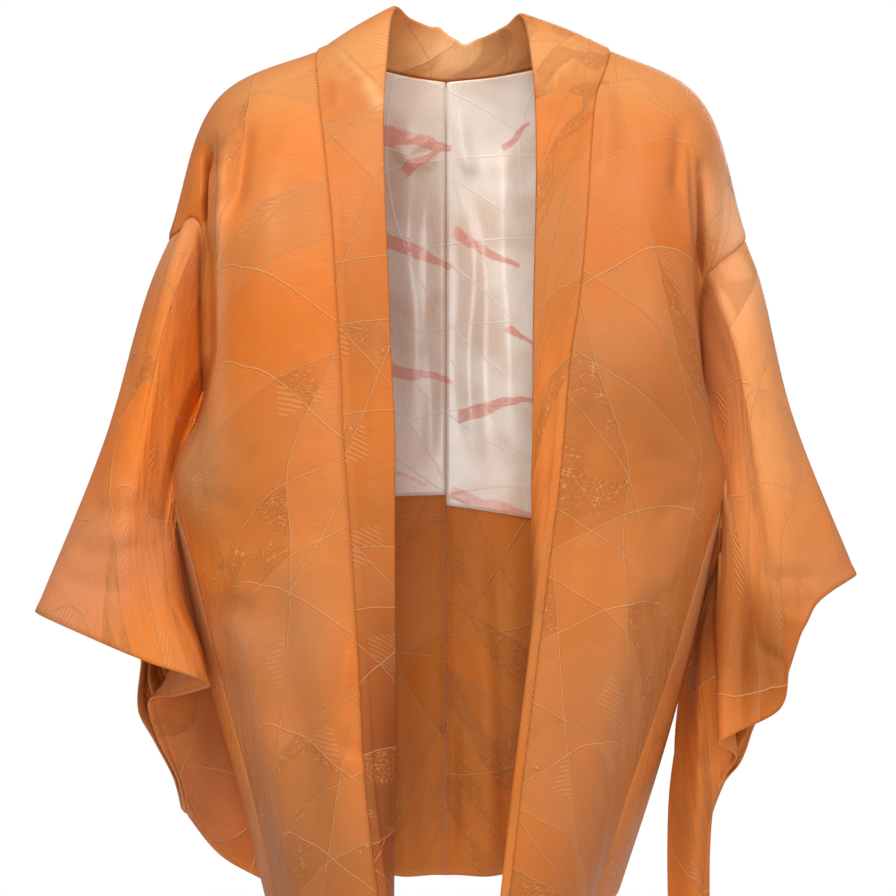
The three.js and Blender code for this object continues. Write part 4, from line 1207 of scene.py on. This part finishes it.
# Silk satin: long warp floats give a bright, soft gloss. It is off-white with a mauve tone,
# darkened on its right half by painted shade, and the pink is brushed on by hand in broad dry
# strokes
lining_satin, tree, shader = new_material("brushed lining satin")
place = add(tree, "ShaderNodeTexCoord").outputs["Object"]
mm = add(tree, "ShaderNodeVectorMath", {0: place, 3: 1 / MM}, operation="SCALE").outputs[0]
split = add(tree, "ShaderNodeSeparateXYZ", {0: mm})
flat_place = add(tree, "ShaderNodeCombineXYZ", {0: split.outputs[0], 1: split.outputs[2]})
wobble = add(tree, "ShaderNodeVectorMath", {0: noise(tree, mm, 0.03, 3.0).outputs["Color"],
                                            1: (16.0, 16.0, 0.0), 2: flat_place.outputs[0]},
             operation="MULTIPLY_ADD").outputs[0]
brushed = None
for (x0, z0), (x1, z1), half_width in BRUSH_STROKES:
    length = math.hypot(x1 - x0, z1 - z0)
    along_x, along_z = (x1 - x0) / length, (z1 - z0) / length
    # The wobble above moves places by about half its size, so the middle is moved back
    middle = ((x0 + x1) / 2 + 8, (z0 + z1) / 2 + 8, 0.0)
    away = add(tree, "ShaderNodeVectorMath", {0: wobble, 1: middle},
               operation="SUBTRACT").outputs[0]
    run = dot_with(tree, away, (along_x / length, along_z / length, 0.0))
    off = math_node(tree, "ABSOLUTE", dot_with(tree, away, (-along_z, along_x, 0.0)))
    # The brush is pressed down at the start and lifted towards the end
    width = math_node(tree, "MULTIPLY_ADD", run, -0.6 * half_width, 0.62 * half_width)
    off = math_node(tree, "SUBTRACT", off, width)
    along = math_node(tree, "ABSOLUTE", run)
    stroke = math_node(tree, "MULTIPLY", ramp(tree, along, 0.47, 0.54, 1.0, 0.0),
                       ramp(tree, off, -0.9, 0.9, 1.0, 0.0))
    brushed = stroke if brushed is None else math_node(tree, "MAXIMUM", brushed, stroke)
dry = ramp(tree, noise(tree, add(tree, "ShaderNodeVectorMath", {0: mm, 1: (0.35, 1.0, 1.6)},
                                 operation="MULTIPLY").outputs[0], 0.35, 4.0).outputs[0],
           0.3, 0.5, 0.6, 1.0)
brushed = math_node(tree, "MULTIPLY", brushed, dry)
arc_lines = None
for centre, spacing in (((-190.0, -420.0, 0.0), 64.0), ((170.0, -60.0, 0.0), 58.0),
                        ((60.0, -640.0, 0.0), 72.0)):
    radius = add(tree, "ShaderNodeVectorMath", {0: flat_place.outputs[0], 1: centre},
                 operation="DISTANCE").outputs["Value"]
    rings = math_node(tree, "DIVIDE", radius, spacing)
    away = math_node(tree, "MULTIPLY", math_node(tree, "ABSOLUTE", math_node(
        tree, "SUBTRACT", rings, math_node(tree, "ROUND", rings))), spacing)
    arc = ramp(tree, away, 0.3, 0.95, 1.0, 0.0)
    arc_lines = arc if arc_lines is None else math_node(tree, "MAXIMUM", arc_lines, arc)
shade = ramp(tree, noise(tree, mm, 0.018, 2.0).outputs[0], 0.35, 0.65)
satin = mix_colour(tree, shade, linear("#FBF2E6"), linear("#EAD3C0"))
# Painted shade darkens the right half of the lining
right_half_painted_shade = ramp(tree, split.outputs[0], -12.0, -6.0, 0.38, 0.0)
satin = mix_colour(tree, right_half_painted_shade, satin, linear("#DDB298"))
satin = mix_colour(tree, math_node(tree, "MULTIPLY", arc_lines, 0.35), satin, linear("#FBF7F0"))
satin = mix_colour(tree, math_node(tree, "MULTIPLY", brushed, 0.75), satin, linear("#E8917F"))
tree.links.new(satin, shader.inputs["Base Color"])
grain = noise(tree, add(tree, "ShaderNodeVectorMath", {0: mm, 1: (1.0, 1.0, 0.12)},
                        operation="MULTIPLY").outputs[0], 0.9, 2.0).outputs[0]
lifted = math_node(tree, "MULTIPLY_ADD", grain, 0.3, arc_lines)
tree.links.new(add(tree, "ShaderNodeBump", {"Height": lifted, "Distance": 0.0005,
                                            "Strength": 0.5}).outputs[0],
               shader.inputs["Normal"])
tree.links.new(math_node(tree, "MULTIPLY_ADD", grain, 0.12, 0.22), shader.inputs["Roughness"])
shader.inputs["Sheen Weight"].default_value = 0.2
shader.inputs["Sheen Roughness"].default_value = 0.35


def lining_piece(name, table, seam_shift, edge, offset):
    """One half of the lining inside the back panel, and the line of its hem."""
    height, slope, level = edge
    sign = -1 if seam_shift < 0 else 1
    share = np.linspace(0, LINED_SHARE, LINING_COLUMNS)
    sections = np.linspace(SHOULDER + 1, BACK_HEM, LINING_SECTIONS)
    back = body_panel(table, seam_shift, sections, share)
    normals = grid_normals(back, sign)
    drop = BODY_CLOTH / 2 + LINING_GAP + LINING_CLOTH / 2
    push = back_push(back, sections, share, sign)
    inside = back + normals * (push - drop)[..., None]
    # Each column is cut at the lower edge and spread evenly from the neck to it
    columns = []
    for c in range(inside.shape[1]):
        column = inside[:, c]
        reach = min(abs(column[-1, 0] - CENTRE_SEAM_X), level)
        cut = height + slope * reach
        k = int(np.argmax((column[:, 2] < cut) & (sections > NAPE)))
        share_last = (column[k - 1, 2] - cut) / (column[k - 1, 2] - column[k, 2])
        last = column[k - 1] + (column[k] - column[k - 1]) * share_last
        line = np.concatenate([column[:k], last[None]])
        lengths = arc_lengths(line[:, None], 0)[:, 0]
        even = np.linspace(0, lengths[-1], LINING_ROWS)
        columns.append(np.stack([np.interp(even, lengths, line[:, k]) for k in range(3)], axis=1))
    grid = np.stack(columns, axis=1)
    own = grid_normals(grid, sign)
    edges = smoothstep(share, 0.01, 0.06)[None, :] * smoothstep(
        np.linspace(0, 1, LINING_ROWS), 0.0, 0.08)[:, None]
    # Inside, a ridge of the lining stands away from the back, towards the front
    push = -np.abs(crease_push(grid, CREASES_LINING, edges)) * LINING_LIFT
    grid = grid + own * push[..., None]
    width = arc_lengths(grid, 1)
    along = arc_lengths(grid, 0)
    piece = cloth_piece(name, grid, grid_normals(grid, sign), LINING_CLOTH, width + offset,
                        along, plain_dye(grid, "#D9CFC4"), lining_satin)
    hem = grid[HEM_ROW] - grid_normals(grid, sign)[HEM_ROW] * (LINING_CLOTH + THREAD) / 2
    return piece, hem


lining_right, hem_right = lining_piece("lining_right_satin", BODY_RIGHT, -SEAM_GAP,
                                       LINING_EDGE_RIGHT, 5000)
lining_left, hem_left = lining_piece("lining_left_satin", BODY_LEFT, SEAM_GAP,
                                     LINING_EDGE_LEFT, 5600)
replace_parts(lining_right, "lining_right")
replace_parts(lining_left, "lining_left")


# ---------------------------------------------------------------------------------------------
# Felling stitches: short stitches of fine silk thread along the lower edge of each lining half,
# sewn by hand through the turned hem into the back.

STITCH_SPACING = 7.0
STITCH_LENGTH = 1.4
# Plain white silk thread with a low sheen
silk_thread, tree, shader = new_material("white silk thread")
shader.inputs["Base Color"].default_value = linear("#EDE4DA")
shader.inputs["Roughness"].default_value = 0.5


def stitch_nodes():
    """Short round stitches set along a line of edges."""
    nodes = bpy.data.node_groups.new("felling stitches", "GeometryNodeTree")
    nodes.interface.new_socket("Line", in_out="INPUT", socket_type="NodeSocketGeometry")
    for label in ("Spacing", "Stitch length", "Thread"):
        nodes.interface.new_socket(label, in_out="INPUT", socket_type="NodeSocketFloat")
    nodes.interface.new_socket("Stitches", in_out="OUTPUT", socket_type="NodeSocketGeometry")
    given = nodes.nodes.new("NodeGroupInput")
    curve = add(nodes, "GeometryNodeMeshToCurve", {0: given.outputs["Line"]})
    points = add(nodes, "GeometryNodeResampleCurve", {
        "Curve": curve.outputs[0], "Length": given.outputs["Spacing"]}, mode="LENGTH")
    radius = add(nodes, "ShaderNodeMath", {0: given.outputs["Thread"], 1: 0.5},
                 operation="MULTIPLY")
    stitch = add(nodes, "GeometryNodeMeshCylinder", {
        "Vertices": 8, "Radius": radius.outputs[0], "Depth": given.outputs["Stitch length"]})
    tangent = nodes.nodes.new("GeometryNodeInputTangent")
    turned = add(nodes, "FunctionNodeAlignRotationToVector", {"Vector": tangent.outputs[0]},
                 axis="Z")
    placed = add(nodes, "GeometryNodeInstanceOnPoints", {
        "Points": points.outputs[0], "Instance": stitch.outputs["Mesh"],
        "Rotation": turned.outputs[0]})
    real = add(nodes, "GeometryNodeRealizeInstances", {0: placed.outputs[0]})
    coloured = add(nodes, "GeometryNodeSetMaterial", {"Geometry": real.outputs[0],
                                                      "Material": silk_thread})
    result = nodes.nodes.new("NodeGroupOutput")
    nodes.links.new(coloured.outputs[0], result.inputs[0])
    return nodes


def stitch_row(name, line, nodes):
    """Stitches along the line of a hem, as a mesh of their own."""
    mesh = bpy.data.meshes.new(name + " line")
    inset = line[2:-2] * MM
    mesh.from_pydata(inset.tolist(), [(k, k + 1) for k in range(len(inset) - 1)], [])
    holder = bpy.data.objects.new(name + " line", mesh)
    scene.collection.objects.link(holder)
    modifier = holder.modifiers.new("stitches", "NODES")
    modifier.node_group = nodes
    sizes = {"Spacing": STITCH_SPACING, "Stitch length": STITCH_LENGTH, "Thread": THREAD}
    for item in nodes.interface.items_tree:
        if item.in_out == "INPUT" and item.name in sizes:
            modifier[item.identifier] = sizes[item.name] * MM
    evaluated = holder.evaluated_get(bpy.context.evaluated_depsgraph_get())
    stitches = bpy.data.objects.new(name, bpy.data.meshes.new_from_object(evaluated))
    bpy.data.objects.remove(holder)
    stitches.data.shade_smooth()
    scene.collection.objects.link(stitches)
    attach(stitches, "root")


felling = stitch_nodes()
stitch_row("felling_stitches_right", hem_right, felling)
stitch_row("felling_stitches_left", hem_left, felling)
